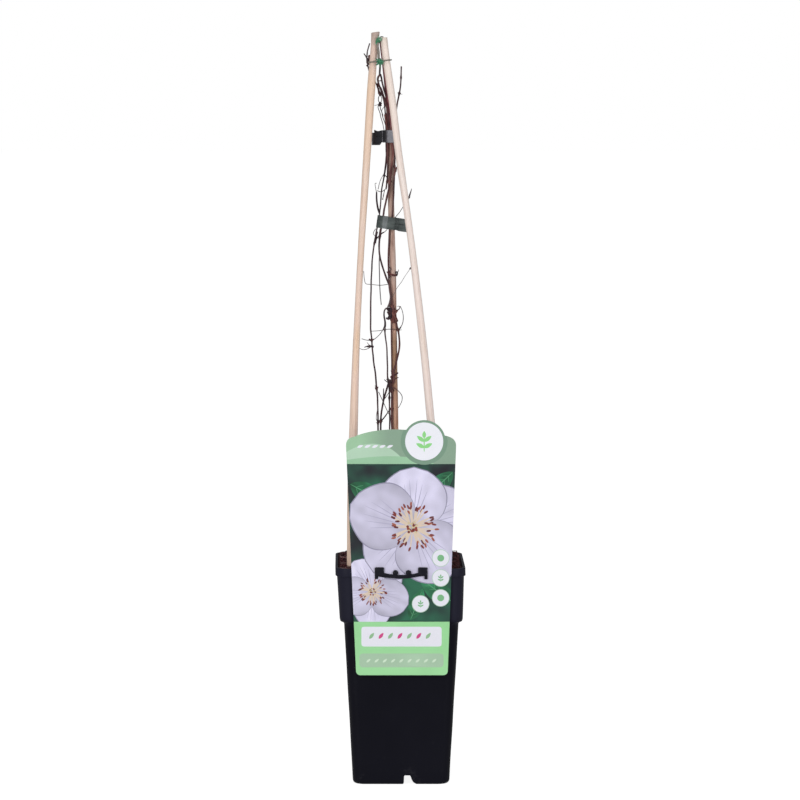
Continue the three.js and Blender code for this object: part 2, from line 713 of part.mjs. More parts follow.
// ---------------------------------------------------------------- growing medium
// The hole that a piece has pressed into the soil is wider and deeper than the piece by the gap.
function caneHole(points, radius) {
  return cane(points, radius + GAP, CANE_LENGTH_BELOW + GAP);
}

function vineHole([stem]) {
  const points = vinePoints(stem.route, stem.radius);
  points.unshift(points[0].clone().setZ(points[0].z - GAP));
  return tube(points, stem.radius + GAP, VINE_SIDES, VINE_STEP);
}

function growingMedium() {
  const lipBottom = RIM_Z - LIP_DROP;
  const profile = [
    [0, FOOT_HEIGHT + WALL + GAP],
    [BASE_HALF - WALL - GAP - 0.2, FOOT_HEIGHT + WALL + GAP],
    [BODY_TOP_HALF - WALL - GAP - 0.3, COLLAR_BOTTOM_Z - 3],
    [COLLAR_BOTTOM_HALF - WALL - GAP - 0.2, COLLAR_BOTTOM_Z + 2.5],
    [COLLAR_TOP_HALF - WALL - GAP, lipBottom],
    [LIP_INNER_HALF - GAP, SOIL_TOP_Z - 1],
    [LIP_INNER_HALF - 3, SOIL_TOP_Z],
    [LIP_INNER_HALF * 0.5, SOIL_TOP_Z + SOIL_CROWN * 0.7],
    [0, SOIL_TOP_Z + SOIL_CROWN],
  ];
  const caneHoles = [
    caneHole(LEFT_CANE, PALE_CANE_RADIUS),
    caneHole(RIGHT_CANE, PALE_CANE_RADIUS),
    caneHole(REAR_CANE, REAR_CANE_RADIUS),
  ];
  const vineHoles = [OUTER_VINE, SPIRAL_VINE, INNER_VINE, SHORT_VINE].map(vineHole);
  const hookSlots = TONGUES.map(([a, b]) => box(
    [a - GAP, -RIM_HALF, HOOK_BOTTOM_Z - GAP],
    [b + GAP, HOOK_BACK_Y + GAP, SOIL_TOP_Z + BITE],
  ));
  return cut(squareTurned(profile), [...caneHoles, ...vineHoles, ...hookSlots]);
}

// ---------------------------------------------------------------- finishes and scene graph
const finishes = {
  potPlastic: { color: 0x1a1a21, roughness: 0.45, metalness: 0 },
  peat: { color: 0x4a2c2e, roughness: 1, metalness: 0 },
  paleWood: { color: 0xe8d0bd, roughness: 0.7, metalness: 0 },
  brownWood: { color: 0x9a7a66, roughness: 0.8, metalness: 0 },
  vineBark: { color: 0x462f33, roughness: 0.9, metalness: 0 },
  blackTape: { color: 0x2a2c2f, roughness: 0.4, metalness: 0 },
  greenTape: { color: 0x46504b, roughness: 0.4, metalness: 0 },
  steel: { color: 0x8f9296, roughness: 0.35, metalness: 1 },
  greenTie: { color: 0x2d7855, roughness: 0.5, metalness: 0 },
  labelCard: { color: 0xa8cfae, roughness: 0.35, metalness: 0 },
  clipPlastic: { color: 0x17171c, roughness: 0.35, metalness: 0 },
};

const pieces = [
  ['pot', pot, 'potPlastic'],
  ['growing_medium', growingMedium, 'peat'],
  ['left_cane', leftCane, 'paleWood'],
  ['right_cane', () => cane(RIGHT_CANE, PALE_CANE_RADIUS), 'paleWood'],
  ['rear_cane', () => cane(REAR_CANE, REAR_CANE_RADIUS), 'brownWood'],
  ['outer_vine', () => vine(OUTER_VINE), 'vineBark'],
  ['spiral_vine', () => vine(SPIRAL_VINE), 'vineBark'],
  ['inner_vine', () => vine(INNER_VINE), 'vineBark'],
  ['short_vine', () => vine(SHORT_VINE), 'vineBark'],
  ['top_tie', topTie, 'greenTie'],
  ['second_tie', secondTie, 'greenTie'],
  ['upper_tape', () => tape(UPPER_TAPE), 'blackTape'],
  ['upper_tape_staple', () => staple(UPPER_TAPE), 'steel'],
  ['lower_tape', () => tape(LOWER_TAPE), 'greenTape'],
  ['lower_tape_staple', () => staple(LOWER_TAPE), 'steel'],
  ['label', label, 'labelCard'],
  ['label_clip', labelClip, 'clipPlastic'],
];

const plant = new THREE.Group();
for (const [name, build, finish] of pieces) {
  const mesh = new THREE.Mesh(toGeometry(build()), new THREE.MeshStandardMaterial(finishes[finish]));
  mesh.name = name;
  plant.add(mesh);
}
// The origin is under the middle of the whole object's box, and the clip stands out in front of the pot.
const frontY = CLIP_FRONT_Y - BUTTON.height;
plant.position.y = -(frontY + RIM_HALF) / 2;

export default plant;
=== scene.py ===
"""Looks of a leafless clematis twined up a tied tripod of canes in a square nursery pot.

Every shape is drawn in millimetres about the pot's middle, +Z up, with the label towards -Y,
and Shape.mesh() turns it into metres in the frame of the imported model.
"""
import math
import random

import bpy
import numpy as np
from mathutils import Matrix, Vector, noise
from mathutils.geometry import delaunay_2d_cdt


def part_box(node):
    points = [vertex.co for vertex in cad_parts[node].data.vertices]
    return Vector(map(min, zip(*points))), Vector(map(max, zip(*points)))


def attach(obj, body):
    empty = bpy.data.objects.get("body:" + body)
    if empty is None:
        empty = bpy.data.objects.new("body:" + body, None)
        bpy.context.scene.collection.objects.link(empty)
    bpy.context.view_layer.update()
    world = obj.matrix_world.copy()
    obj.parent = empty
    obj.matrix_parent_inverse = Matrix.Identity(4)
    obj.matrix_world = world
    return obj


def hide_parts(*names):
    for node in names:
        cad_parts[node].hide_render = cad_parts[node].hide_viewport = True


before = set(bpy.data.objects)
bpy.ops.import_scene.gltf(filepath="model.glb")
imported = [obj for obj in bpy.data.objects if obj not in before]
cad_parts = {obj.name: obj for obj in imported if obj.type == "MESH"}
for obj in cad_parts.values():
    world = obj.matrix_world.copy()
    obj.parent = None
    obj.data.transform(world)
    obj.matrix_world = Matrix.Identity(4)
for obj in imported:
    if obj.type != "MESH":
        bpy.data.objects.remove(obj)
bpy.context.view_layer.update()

MM = 0.001
POT_LOW, POT_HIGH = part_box("pot")
POT_MIDDLE_Y = (POT_LOW.y + POT_HIGH.y) / 2

# ---------------- driving dimensions, mm
RIM_HALF = 65.0
RIM_Z = 221.0
LIP_DROP = 8.5
LIP_INNER_HALF = 62.4
COLLAR_TOP_HALF = 63.5
COLLAR_BOTTOM_HALF = 61.6
COLLAR_BOTTOM_Z = 168.0
BODY_TOP_HALF = 57.4
BASE_HALF = 48.6
WALL = 1.4
FOOT_WIDTH = 7.5
FOOT_HEIGHT = 10.0
FOOT_RADIUS = 4.0
CORNER_RATIO = 0.2
DRAIN_HOLE_RADIUS = 5.0
DRAIN_HOLE_SPREAD = 24.0
SOIL_TOP_Z = 218.6
SOIL_CROWN = 0.8
SOIL_HEAP = 3.4
GAP = 0.3
PALE_CANE_RADIUS = 3.75
REAR_CANE_RADIUS = 3.2
CANE_LENGTH_BELOW = 63.0
LEFT_SAW_SLOPE = 0.22
RIGHT_SAW_SLOPE = -0.05
SOIL_ENTRY_Z = SOIL_TOP_Z - 20
TAPE_THICKNESS = 0.4
TIE_WIRE_RADIUS = 0.7
LABEL_THICKNESS = 0.6

# ---------------- camera
PHOTO_SIDE = 800
FOCAL_LENGTH_PX = 3582.4
SENSOR_MM = 36.0
CAMERA_DISTANCE = 3.6
CAMERA_HEIGHT = 0.7094
CAMERA_X = -0.0005
CAMERA_DIP = math.radians(5.16663)


def placed(name, data):
    """A new object in the scene."""
    thing = bpy.data.objects.new(name, data)
    bpy.context.scene.collection.objects.link(thing)
    return thing


def make_camera():
    data = bpy.data.cameras.new("camera")
    data.sensor_width = SENSOR_MM
    data.lens = SENSOR_MM * FOCAL_LENGTH_PX / PHOTO_SIDE
    camera = placed("camera", data)
    camera.location = (CAMERA_X, POT_MIDDLE_Y - CAMERA_DISTANCE, CAMERA_HEIGHT)
    camera.rotation_euler = (math.pi / 2 - CAMERA_DIP, 0, 0)
    bpy.context.scene.camera = camera


# ---------------- mesh building
POINT_VALUES = ("dry", "red", "tone")


class Shape:
    """A mesh in the making. Each point carries its place in its own tube's grain and a few values."""

    def __init__(self):
        self.points = []
        self.faces = []
        self.grain = []
        self.values = {name: [] for name in POINT_VALUES}
        self.count = 0

    def add(self, points, faces, grain=None, **values):
        points = np.asarray(points, float).reshape(-1, 3)
        self.faces += [tuple(self.count + i for i in face) for face in faces]
        self.points.append(points)
        self.grain.append(points if grain is None else np.asarray(grain, float).reshape(-1, 3))
        for name in POINT_VALUES:
            given = np.asarray(values.get(name, 0.0), float)
            self.values[name].append(np.broadcast_to(given, len(points)))
        self.count += len(points)
        return self

    def mesh(self, name):
        mesh = bpy.data.meshes.new(name)
        points = np.concatenate(self.points) * MM
        points[:, 1] += POT_MIDDLE_Y
        mesh.from_pydata(points, [], self.faces)
        grain = mesh.attributes.new("grain", "FLOAT_VECTOR", "POINT")
        grain.data.foreach_set("vector", (np.concatenate(self.grain) * MM).ravel())
        for key, parts in self.values.items():
            attribute = mesh.attributes.new(key, "FLOAT", "POINT")
            attribute.data.foreach_set("value", np.concatenate(parts))
        mesh.validate()
        return mesh

    def piece(self, name, material, sharp_degrees):
        finish(placed("look_" + name, self.mesh(name)), name, material, sharp_degrees)


def finish(piece, name, material, sharp_degrees):
    """Gives a piece its shading and material, and lets it stand for the CAD node called name."""
    piece.data.shade_smooth()
    piece.data.set_sharp_from_angle(angle=math.radians(sharp_degrees))
    piece.data.materials.clear()
    piece.data.materials.append(material)
    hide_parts(name)
    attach(piece, "root")


def unit(vectors):
    return vectors / np.maximum(np.linalg.norm(vectors, axis=-1, keepdims=True), 1e-9)


def wobble(points, size, seed=0.0):
    """Smooth noise from -1 to 1 at each point, with waves about size mm long."""
    return np.array([noise.noise(Vector(p) / size + Vector((seed, 7 * seed, 3 * seed))) for p in points])


def bell(values, middle, width):
    """1 at the middle, and next to nothing two widths away."""
    return np.exp(-((values - middle) / width) ** 2)


def lengths_along(points):
    return np.concatenate([[0], np.cumsum(np.linalg.norm(np.diff(points, axis=0), axis=1))])


def evenly(points, step):
    """The same polyline with points about step mm apart."""
    lengths = lengths_along(points)
    places = np.linspace(0, lengths[-1], max(3, round(lengths[-1] / step) + 1))
    return np.stack([np.interp(places, lengths, points[:, i]) for i in range(3)], axis=1)


def between(t, a, b, ta, tb):
    """The place at t on the line that is at a for ta and at b for tb."""
    return ((tb - t) * a + (t - ta) * b) / (tb - ta)


def smooth_curve(points, step):
    """Points about step mm apart on the centripetal Catmull-Rom curve through the given points."""
    p = [np.asarray(point, float) for point in points]
    p = [2 * p[0] - p[1], *p, 2 * p[-1] - p[-2]]
    dense = [p[1]]
    for a, b, c, d in zip(p, p[1:], p[2:], p[3:]):
        tb = np.linalg.norm(b - a) ** 0.5
        tc = tb + np.linalg.norm(c - b) ** 0.5
        td = tc + np.linalg.norm(d - c) ** 0.5
        for t in np.linspace(tb, tc, 13)[1:]:
            bc = between(t, b, c, tb, tc)
            abc = between(t, between(t, a, b, 0, tb), bc, 0, tc)
            bcd = between(t, bc, between(t, c, d, tc, td), tb, td)
            dense.append(between(t, abc, bcd, tb, tc))
    return evenly(np.array(dense), step)


def bowed(start, middle, end, steps=8):
    """Points of a quadratic curve, ends included."""
    a, b, c = (np.array(p, float) for p in (start, middle, end))
    return [tuple((1 - t) ** 2 * a + 2 * t * (1 - t) * b + t * t * c) for t in np.linspace(0, 1, steps + 1)]


def carried_frames(path, closed=False):
    """Two directions across the path at each point, carried along it without twist."""
    if closed:
        tangents = unit(np.roll(path, -1, axis=0) - np.roll(path, 1, axis=0))
    else:
        tangents = unit(np.gradient(path, axis=0))
    start = np.array([0.0, -1.0, 0.0])
    if abs(tangents[0] @ start) > 0.9:
        start = np.array([1.0, 0.0, 0.0])
    across = []
    for tangent in tangents:
        start = start - tangent * (start @ tangent)
        start = start / np.linalg.norm(start)
        across.append(start)
    across = np.array(across)
    return tangents, across, np.cross(tangents, across)


def angles_round(sides):
    return 2 * np.pi * np.arange(sides) / sides


def ring_faces(count, sides, closed=False):
    """Faces along a row of rings. Two points after the rings close the ends of an open row."""
    faces = []
    for i in range(count if closed else count - 1):
        a, b = i * sides, ((i + 1) % count) * sides
        faces += [(a + j, a + (j + 1) % sides, b + (j + 1) % sides, b + j) for j in range(sides)]
    if not closed:
        foot, top = count * sides, (count - 1) * sides
        faces += [(foot, (j + 1) % sides, j) for j in range(sides)]
        faces += [(foot + 1, top + j, top + (j + 1) % sides) for j in range(sides)]
    return faces


def tube(shape, path, radii, sides, closed=False, grain_start=0.0, dome=0.4, **values):
    """A tube whose ends are domed by that share of their radius.

    radii is one number, one for each point, or one for each point and side.
    """
    path = np.asarray(path, float)
    count = len(path)
    radii = np.asarray(radii, float)
    if radii.ndim == 1:
        radii = radii[:, None]
    radii = np.broadcast_to(radii, (count, sides))
    tangents, across, beside = carried_frames(path, closed)
    turn = angles_round(sides)
    spoke = np.cos(turn)[None, :, None] * across[:, None] + np.sin(turn)[None, :, None] * beside[:, None]
    rings = path[:, None] + radii[..., None] * spoke
    along = grain_start + lengths_along(path)
    grain = [radii * np.cos(turn), radii * np.sin(turn), np.broadcast_to(along[:, None], radii.shape)]
    points, grain = rings.reshape(-1, 3), np.stack(grain, -1).reshape(-1, 3)
    spread = {key: np.repeat(np.broadcast_to(value, count), sides) for key, value in values.items()}
    if not closed:
        foot = path[0] - tangents[0] * radii[0].mean() * dome
        tip = path[-1] + tangents[-1] * radii[-1].mean() * dome
        points = np.concatenate([points, [foot, tip]])
        grain = np.concatenate([grain, [[0, 0, along[0]], [0, 0, along[-1]]]])
        spread = {key: np.append(value, [value[0], value[-1]]) for key, value in spread.items()}
    return shape.add(points, ring_faces(count, sides, closed), grain, **spread)


def sheet_normals(grid):
    return unit(np.cross(np.gradient(grid, axis=0), np.gradient(grid, axis=1)))


def thick_sheet(shape, middle, thickness, **values):
    """A closed solid of even thickness about a grid of points, with the same values all over."""
    out = sheet_normals(middle) * (thickness / 2)
    front, back = middle - out, middle + out
    count = middle[..., 0].size
    at = np.arange(count).reshape(middle.shape[:2])
    faces = []
    for quad in np.stack([at[:-1, :-1], at[:-1, 1:], at[1:, 1:], at[1:, :-1]], -1).reshape(-1, 4).tolist():
        faces += [quad, [count + i for i in reversed(quad)]]
    border = [*at[0], *at[1:, -1], *at[-1, -2::-1], *at[-2:0:-1, 0]]
    faces += [(b, a, count + a, count + b) for a, b in zip(border, border[1:] + border[:1])]
    return shape.add(np.stack([front, back]), faces, **values)


def flattened(points):
    """Points in plan, at height 0."""
    return np.column_stack([points[:, :2], np.zeros(len(points))])


def point_at_height(points, z):
    """Height is measured along Z, so a place between two listed points is found by its height."""
    points = np.asarray(points, float)
    i = int(np.clip(np.searchsorted(points[:, 2], z), 1, len(points) - 1))
    a, b = points[i - 1], points[i]
    return a + (b - a) * (z - a[2]) / (b[2] - a[2])


# ---------------- materials
def rgb(red, green, blue):
    """Blender's colour, linear and with alpha, from sRGB numbers of 0 to 255."""
    shares = [c / 255 for c in (red, green, blue)]
    return tuple(c / 12.92 if c <= 0.04045 else ((c + 0.055) / 1.055) ** 2.4 for c in shares) + (1.0,)


class Surface:
    """A node material in the making. Its methods add nodes and return the last one's output.

    A colour is given as sRGB numbers of 0 to 255.
    """

    def __init__(self, name, **constants):
        self.material = bpy.data.materials.new(name)
        self.material.use_nodes = True
        self.nodes = self.material.node_tree.nodes
        self.links = self.material.node_tree.links
        self.shader = self.nodes["Principled BSDF"]
        for key, value in constants.items():
            self.shader.inputs[key.replace("_", " ")].default_value = value

    def wire(self, socket, value):
        if isinstance(value, bpy.types.NodeSocket):
            self.links.new(value, socket)
        else:
            socket.default_value = rgb(*value) if socket.type == "RGBA" else value

    def set(self, name, value):
        self.wire(self.shader.inputs[name], value)

    def rough(self, value, low, high):
        self.set("Roughness", self.ramp(value, (0.3, low), (0.7, high)))

    def node(self, kind, output, inputs, **settings):
        node = self.nodes.new("ShaderNode" + kind)
        for key, value in settings.items():
            setattr(node, key, value)
        for key, value in inputs.items():
            self.wire(node.inputs[key], value)
        return node.outputs[output]

    def place(self):
        return self.node("TexCoord", "Object", {})

    def height(self):
        return self.node("SeparateXYZ", "Z", {"Vector": self.place()})

    def attribute(self, name, output="Fac"):
        return self.node("Attribute", output, {}, attribute_name=name)

    def stretched(self, vector, scale):
        return self.node("Mapping", "Vector", {"Vector": vector, "Scale": scale})

    def noise(self, vector, scale, detail=3.0, roughness=0.55):
        inputs = {"Vector": vector, "Scale": scale, "Detail": detail, "Roughness": roughness}
        return self.node("TexNoise", "Fac", inputs)

    def grain_noise(self, across, along, detail, roughness=0.55):
        """Noise stretched along the grain, with so many waves to a metre across it and along it."""
        grain = self.attribute("grain", "Vector")
        return self.noise(self.stretched(grain, (across, across, along)), 1, detail, roughness)

    def grain_spots(self, across, along, inner, outer):
        """Long spots in the grain, solid within the inner distance and gone at the outer."""
        grain = self.stretched(self.attribute("grain", "Vector"), (across, across, along))
        distance = self.node("TexVoronoi", "Distance", {"Vector": grain, "Scale": 1})
        return self.ramp(distance, (inner, 1.0), (outer, 0.0))

    def ramp(self, value, *stops):
        """stops are (place, colour) pairs; a colour may be one number."""
        node = self.nodes.new("ShaderNodeValToRGB")
        self.wire(node.inputs["Fac"], value)
        elements = node.color_ramp.elements
        while len(elements) < len(stops):
            elements.new(0.5)
        for element, (place, colour) in zip(elements, stops):
            element.position = place
            element.color = rgb(*colour) if isinstance(colour, tuple) else (colour, colour, colour, 1.0)
        return node.outputs["Color"]

    def mix(self, share, first, second, blend="MIX"):
        inputs = {"Factor": share, 6: first, 7: second}
        return self.node("Mix", 2, inputs, data_type="RGBA", blend_type=blend)

    def over(self, first, second, value, start, end, most=1.0):
        """The first colour with the second over it, from nothing to most as value goes from start to end."""
        return self.mix(self.ramp(value, (start, 0.0), (end, most)), first, second)

    def maths(self, operation, first, second, clamp=False):
        return self.node("Math", 0, {0: first, 1: second}, operation=operation, use_clamp=clamp)

    def bump(self, value, distance_mm, strength, **under):
        """under may hold Normal, the bumps that these bumps lie on."""
        return self.node("Bump", "Normal",
                         {"Height": value, "Distance": distance_mm * MM, "Strength": strength, **under})


def pot_plastic():
    s = Surface("black_pot_plastic", Specular_IOR_Level=0.08)
    place = s.place()
    cloud = s.noise(place, 14, 4)
    dust = s.noise(place, 60, 6, 0.7)
    body = s.mix(cloud, (12, 12, 20), (20, 20, 30))
    # The collar is the same plastic as the body, drawn lighter: partly dust, partly painted light on its
    # outward-tilted faces.
    collar_dust_and_light = s.mix(cloud, (28, 28, 40), (38, 38, 52))
    base = s.over(body, collar_dust_and_light, s.height(), 0.16, 0.17)
    low = s.ramp(s.height(), (0.0, 1.0), (0.05, 0.0))
    dusty = s.maths("MULTIPLY", s.ramp(dust, (0.6, 0.0), (0.8, 1.0)), s.maths("ADD", low, 0.15, True))
    s.set("Base Color", s.mix(s.maths("MULTIPLY", dusty, 0.35), base, (72, 70, 74)))
    s.rough(cloud, 0.34, 0.5)
    fine = s.bump(s.noise(place, 900, 2), 0.06, 0.5)
    s.set("Normal", s.bump(s.noise(place, 45, 2), 0.5, 0.35, Normal=fine))
    return s.material


def soil_mix():
    s = Surface("fibrous_potting_mix", Roughness=0.95, Specular_IOR_Level=0.2)
    place = s.place()
    crumbs = s.noise(place, 240, 5, 0.7)
    earth = s.ramp(crumbs, (0.3, (22, 17, 19)), (0.5, (56, 35, 39)), (0.72, (104, 64, 68)))
    fibre = s.ramp(s.attribute("tone"), (0.0, (36, 24, 27)), (0.4, (104, 52, 54)),
                   (0.75, (164, 104, 108)), (1.0, (206, 168, 166)))
    fibre = s.mix(s.noise(s.attribute("grain", "Vector"), 500, 3), fibre, (62, 34, 36))
    s.set("Base Color", s.mix(s.attribute("dry"), earth, fibre))
    s.set("Normal", s.bump(s.noise(place, 420, 4, 0.7), 0.9, 0.8))
    return s.material


def pale_wood(name, light, warm, pink, upper, tip):
    s = Surface(name, Specular_IOR_Level=0.3, Sheen_Weight=0.25, Sheen_Roughness=0.5)
    streaks = s.grain_noise(900, 18, 4, 0.6)
    broad = s.grain_noise(190, 9, 2)
    blotch = s.grain_noise(60, 14, 3)
    body = s.over(light, warm, broad, 0.35, 0.62)
    body = s.over(body, pink, blotch, 0.45, 0.7, 0.75)
    dark = s.mix(1.0, body, (214, 196, 184), "MULTIPLY")
    body = s.over(body, dark, streaks, 0.52, 0.75, 0.8)
    pores = s.grain_spots(1500, 120, 0.05, 0.16)
    body = s.mix(s.maths("MULTIPLY", pores, 0.3), body, (160, 118, 92))
    knots = s.grain_spots(150, 34, 0.03, 0.1)
    body = s.mix(s.maths("MULTIPLY", knots, 0.45), body, (150, 104, 80))
    body = s.over(body, warm, s.height(), 0.6, 0.64, 0.65)
    # From about 700 mm up, the wood is multiplied by the upper and tip tints, greyer and bluer: painted
    # shade.
    painted_top_shade = s.ramp(s.height(), (0.70, 1.0), (0.722, upper), (0.738, upper), (0.75, tip))
    s.set("Base Color", s.mix(1.0, body, painted_top_shade, "MULTIPLY"))
    s.rough(streaks, 0.5, 0.68)
    s.set("Normal", s.bump(streaks, 0.25, 0.6))
    return s.material


def brown_wood():
    s = Surface("brown_cane_wood", Specular_IOR_Level=0.3)
    z = s.height()
    streaks = s.grain_noise(700, 22, 5, 0.65)
    broad = s.grain_noise(240, 30, 3)
    low = s.ramp(broad, (0.3, (168, 120, 98)), (0.5, (214, 168, 142)), (0.7, (236, 196, 168)))
    shaded = s.ramp(broad, (0.3, (126, 84, 68)), (0.5, (162, 124, 98)), (0.7, (184, 150, 122)))
    bound = s.ramp(broad, (0.3, (162, 112, 98)), (0.5, (206, 160, 142)), (0.7, (224, 184, 166)))
    middle = s.ramp(broad, (0.3, (170, 132, 118)), (0.5, (212, 180, 166)), (0.72, (232, 206, 192)))
    top = s.ramp(broad, (0.3, (110, 54, 62)), (0.52, (152, 90, 96)), (0.75, (178, 122, 124)))
    body = low
    for start, end, wood in ((0.385, 0.42, shaded), (0.442, 0.456, bound), (0.475, 0.50, middle)):
        body = s.over(body, wood, z, start, end)
    ragged = s.maths("ADD", z, s.maths("MULTIPLY", broad, 0.08))
    body = s.over(body, top, ragged, 0.665, 0.71)
    s.set("Base Color", s.over(body, (92, 60, 58), streaks, 0.5, 0.68, 0.4))
    s.rough(streaks, 0.6, 0.85)
    s.set("Normal", s.bump(streaks, 0.5, 0.9))
    return s.material


def vine_bark():
    s = Surface("vine_bark", Specular_IOR_Level=0.25)
    streaks = s.grain_noise(1400, 60, 4, 0.65)
    patches = s.grain_noise(300, 70, 3)
    dark = s.ramp(patches, (0.32, (34, 25, 33)), (0.52, (58, 42, 50)), (0.72, (88, 66, 70)))
    red = s.ramp(patches, (0.3, (76, 42, 44)), (0.5, (120, 72, 68)), (0.72, (156, 110, 100)))
    dry = s.ramp(patches, (0.3, (84, 80, 82)), (0.7, (150, 146, 146)))
    bark = s.mix(s.attribute("red"), dark, red)
    bark = s.mix(s.attribute("dry"), bark, dry)
    s.set("Base Color", s.over(bark, (128, 108, 104), streaks, 0.55, 0.72, 0.55))
    s.rough(streaks, 0.55, 0.85)
    s.set("Normal", s.bump(streaks, 0.2, 0.9))
    return s.material


def binding_tape(name, dark, light, shine):
    s = Surface(name, Specular_IOR_Level=shine, Specular_Tint=(0.92, 0.91, 1.0, 1.0))
    place = s.place()
    cloud = s.noise(s.stretched(place, (60, 60, 200)), 1, 3)
    s.set("Base Color", s.over(dark, light, cloud, 0.35, 0.7))
    s.rough(s.noise(place, 90, 3), 0.24, 0.3)
    ribs = s.noise(s.stretched(place, (20, 20, 2400)), 1, 1)
    s.set("Normal", s.bump(ribs, 0.02, 0.5))
    return s.material


def tie_green():
    s = Surface("green_tie", Specular_IOR_Level=0.45)
    place = s.place()
    cloud = s.noise(place, 500, 4, 0.6)
    strip = s.ramp(cloud, (0.3, (30, 92, 64)), (0.55, (50, 132, 92)), (0.78, (126, 184, 152)))
    wire = s.ramp(cloud, (0.3, (88, 84, 78)), (0.7, (146, 138, 128)))
    pale = s.ramp(cloud, (0.3, (112, 158, 128)), (0.7, (176, 206, 184)))
    strip = s.mix(s.attribute("tone"), strip, pale)
    s.set("Base Color", s.mix(s.attribute("dry"), strip, wire))
    s.rough(cloud, 0.35, 0.55)
    s.set("Normal", s.bump(s.noise(place, 2500, 2), 0.08, 0.5))
    return s.material


def staple_steel():
    s = Surface("staple_steel", Metallic=1.0)
    cloud = s.noise(s.place(), 800, 3)
    s.set("Base Color", s.ramp(cloud, (0.3, (38, 39, 42)), (0.7, (66, 67, 71))))
    s.rough(cloud, 0.28, 0.45)
    return s.material


def printed_card():
    s = Surface("printed_label_card", Specular_IOR_Level=0.35, Coat_Weight=0.15, Coat_Roughness=0.2)
    place = s.place()
    speck = s.noise(place, 1800, 2, 0.6)
    shade_of_print = s.ramp(speck, (0.3, 0.93), (0.7, 1.0))
    s.set("Base Color", s.mix(1.0, s.attribute("print", "Color"), shade_of_print, "MULTIPLY"))
    s.rough(s.noise(place, 30, 2), 0.32, 0.42)
    s.set("Normal", s.bump(s.noise(place, 1200, 2), 0.02, 0.4))
    return s.material


def clip_plastic():
    s = Surface("label_clip_plastic", Specular_IOR_Level=0.12)
    place = s.place()
    cloud = s.noise(place, 180, 3)
    s.set("Base Color", s.mix(cloud, (18, 18, 27), (30, 30, 39)))
    s.rough(cloud, 0.3, 0.45)
    s.set("Normal", s.bump(s.noise(place, 1500, 2), 0.04, 0.4))
    return s.material


# ---------------- pot and soil
RING_CORNER_STEPS = 12
RING_SIDE_STEPS = 14


def square_outline():
    """Points round a square of half width 1 with round corners."""
    inset = 1 - CORNER_RATIO
    side_ends = [(1, inset), (-inset, 1), (-1, -inset), (inset, -1)]
    outline = []
    for corner, (sx, sy) in enumerate([(1, -1), (1, 1), (-1, 1), (-1, -1)]):
        for i in range(RING_CORNER_STEPS + 1):
            angle = math.pi / 2 * (corner - 1 + i / RING_CORNER_STEPS)
            outline.append((sx * inset + CORNER_RATIO * math.cos(angle),
                            sy * inset + CORNER_RATIO * math.sin(angle)))
        start, end = np.array(outline[-1]), np.array(side_ends[corner])
        outline += [tuple(start + (end - start) * i / RING_SIDE_STEPS) for i in range(1, RING_SIDE_STEPS)]
    return np.array(outline)


OUTLINE = square_outline()


def square_ring(half, z):
    return np.column_stack([OUTLINE * half, np.full(len(OUTLINE), z)])


FILLET_STEPS = 4
LONGEST_RUN = 12.0


def filleted(profile):
    """Rounds each corner of a profile of (half width, height, fillet radius)."""
    points = [np.array(p[:2], float) for p in profile]
    rounded = [points[0]]
    for i in range(1, len(points) - 1):
        before, corner, after = points[i - 1:i + 2]
        room = min(np.linalg.norm(before - corner), np.linalg.norm(after - corner)) / 2.1
        reach = min(profile[i][2], room)
        start = corner + unit(before - corner) * reach
        end = corner + unit(after - corner) * reach
        rounded += bowed(start, corner, end, FILLET_STEPS)
    return np.array([*rounded, points[-1]])


def loft(rings):
    """A solid through rings of equal size, closed at both ends on their middles."""
    ends = [np.mean(rings[0], axis=0), np.mean(rings[-1], axis=0)]
    return Shape().add(np.concatenate([*rings, ends]), ring_faces(len(rings), len(rings[0])))


def pot_profile():
    lip_bottom = RIM_Z - LIP_DROP
    foot_inner = BASE_HALF - FOOT_WIDTH
    return [
        (1, FOOT_HEIGHT, 0), (foot_inner - 3, FOOT_HEIGHT, 1), (foot_inner - 1, FOOT_HEIGHT - 1.5, 1),
        (foot_inner, 0, 0.5), (BASE_HALF - 2.2, 0, 2), (BASE_HALF, 2.6, 3),
        (BODY_TOP_HALF, COLLAR_BOTTOM_Z - 3.4, 1.5), (COLLAR_BOTTOM_HALF - 0.7, COLLAR_BOTTOM_Z - 1.6, 0.8),
        (COLLAR_BOTTOM_HALF, COLLAR_BOTTOM_Z + 0.8, 0.8), (COLLAR_TOP_HALF, lip_bottom, 0.3),
        (RIM_HALF, lip_bottom + 0.3, 0.4), (RIM_HALF, RIM_Z, 0.8), (LIP_INNER_HALF, RIM_Z, 0.6),
        (COLLAR_TOP_HALF - WALL, lip_bottom, 0.6), (COLLAR_BOTTOM_HALF - WALL, COLLAR_BOTTOM_Z + 1.6, 1),
        (BODY_TOP_HALF - WALL, COLLAR_BOTTOM_Z - 3, 1), (BASE_HALF - WALL, FOOT_RADIUS + 1, 1),
        (BASE_HALF - FOOT_RADIUS, WALL, 1), (foot_inner + WALL, WALL, 0.5),
        (foot_inner - 1 + WALL, FOOT_HEIGHT, 1), (foot_inner - 3, FOOT_HEIGHT + WALL, 1),
        (1, FOOT_HEIGHT + WALL, 0),
    ]


def with_long_runs_split(profile):
    split = [profile[0]]
    for a, b in zip(profile, profile[1:]):
        parts = max(1, math.ceil(np.linalg.norm(b - a) / LONGEST_RUN))
        split += [a + (b - a) * i / parts for i in range(1, parts + 1)]
    return split


def anticlockwise(outline):
    """The outline's points in the order that has its inside on the left."""
    x, z = np.array(outline, float).T
    turn = np.sum(x * np.roll(z, -1) - z * np.roll(x, -1))
    return list(outline) if turn > 0 else list(outline)[::-1]


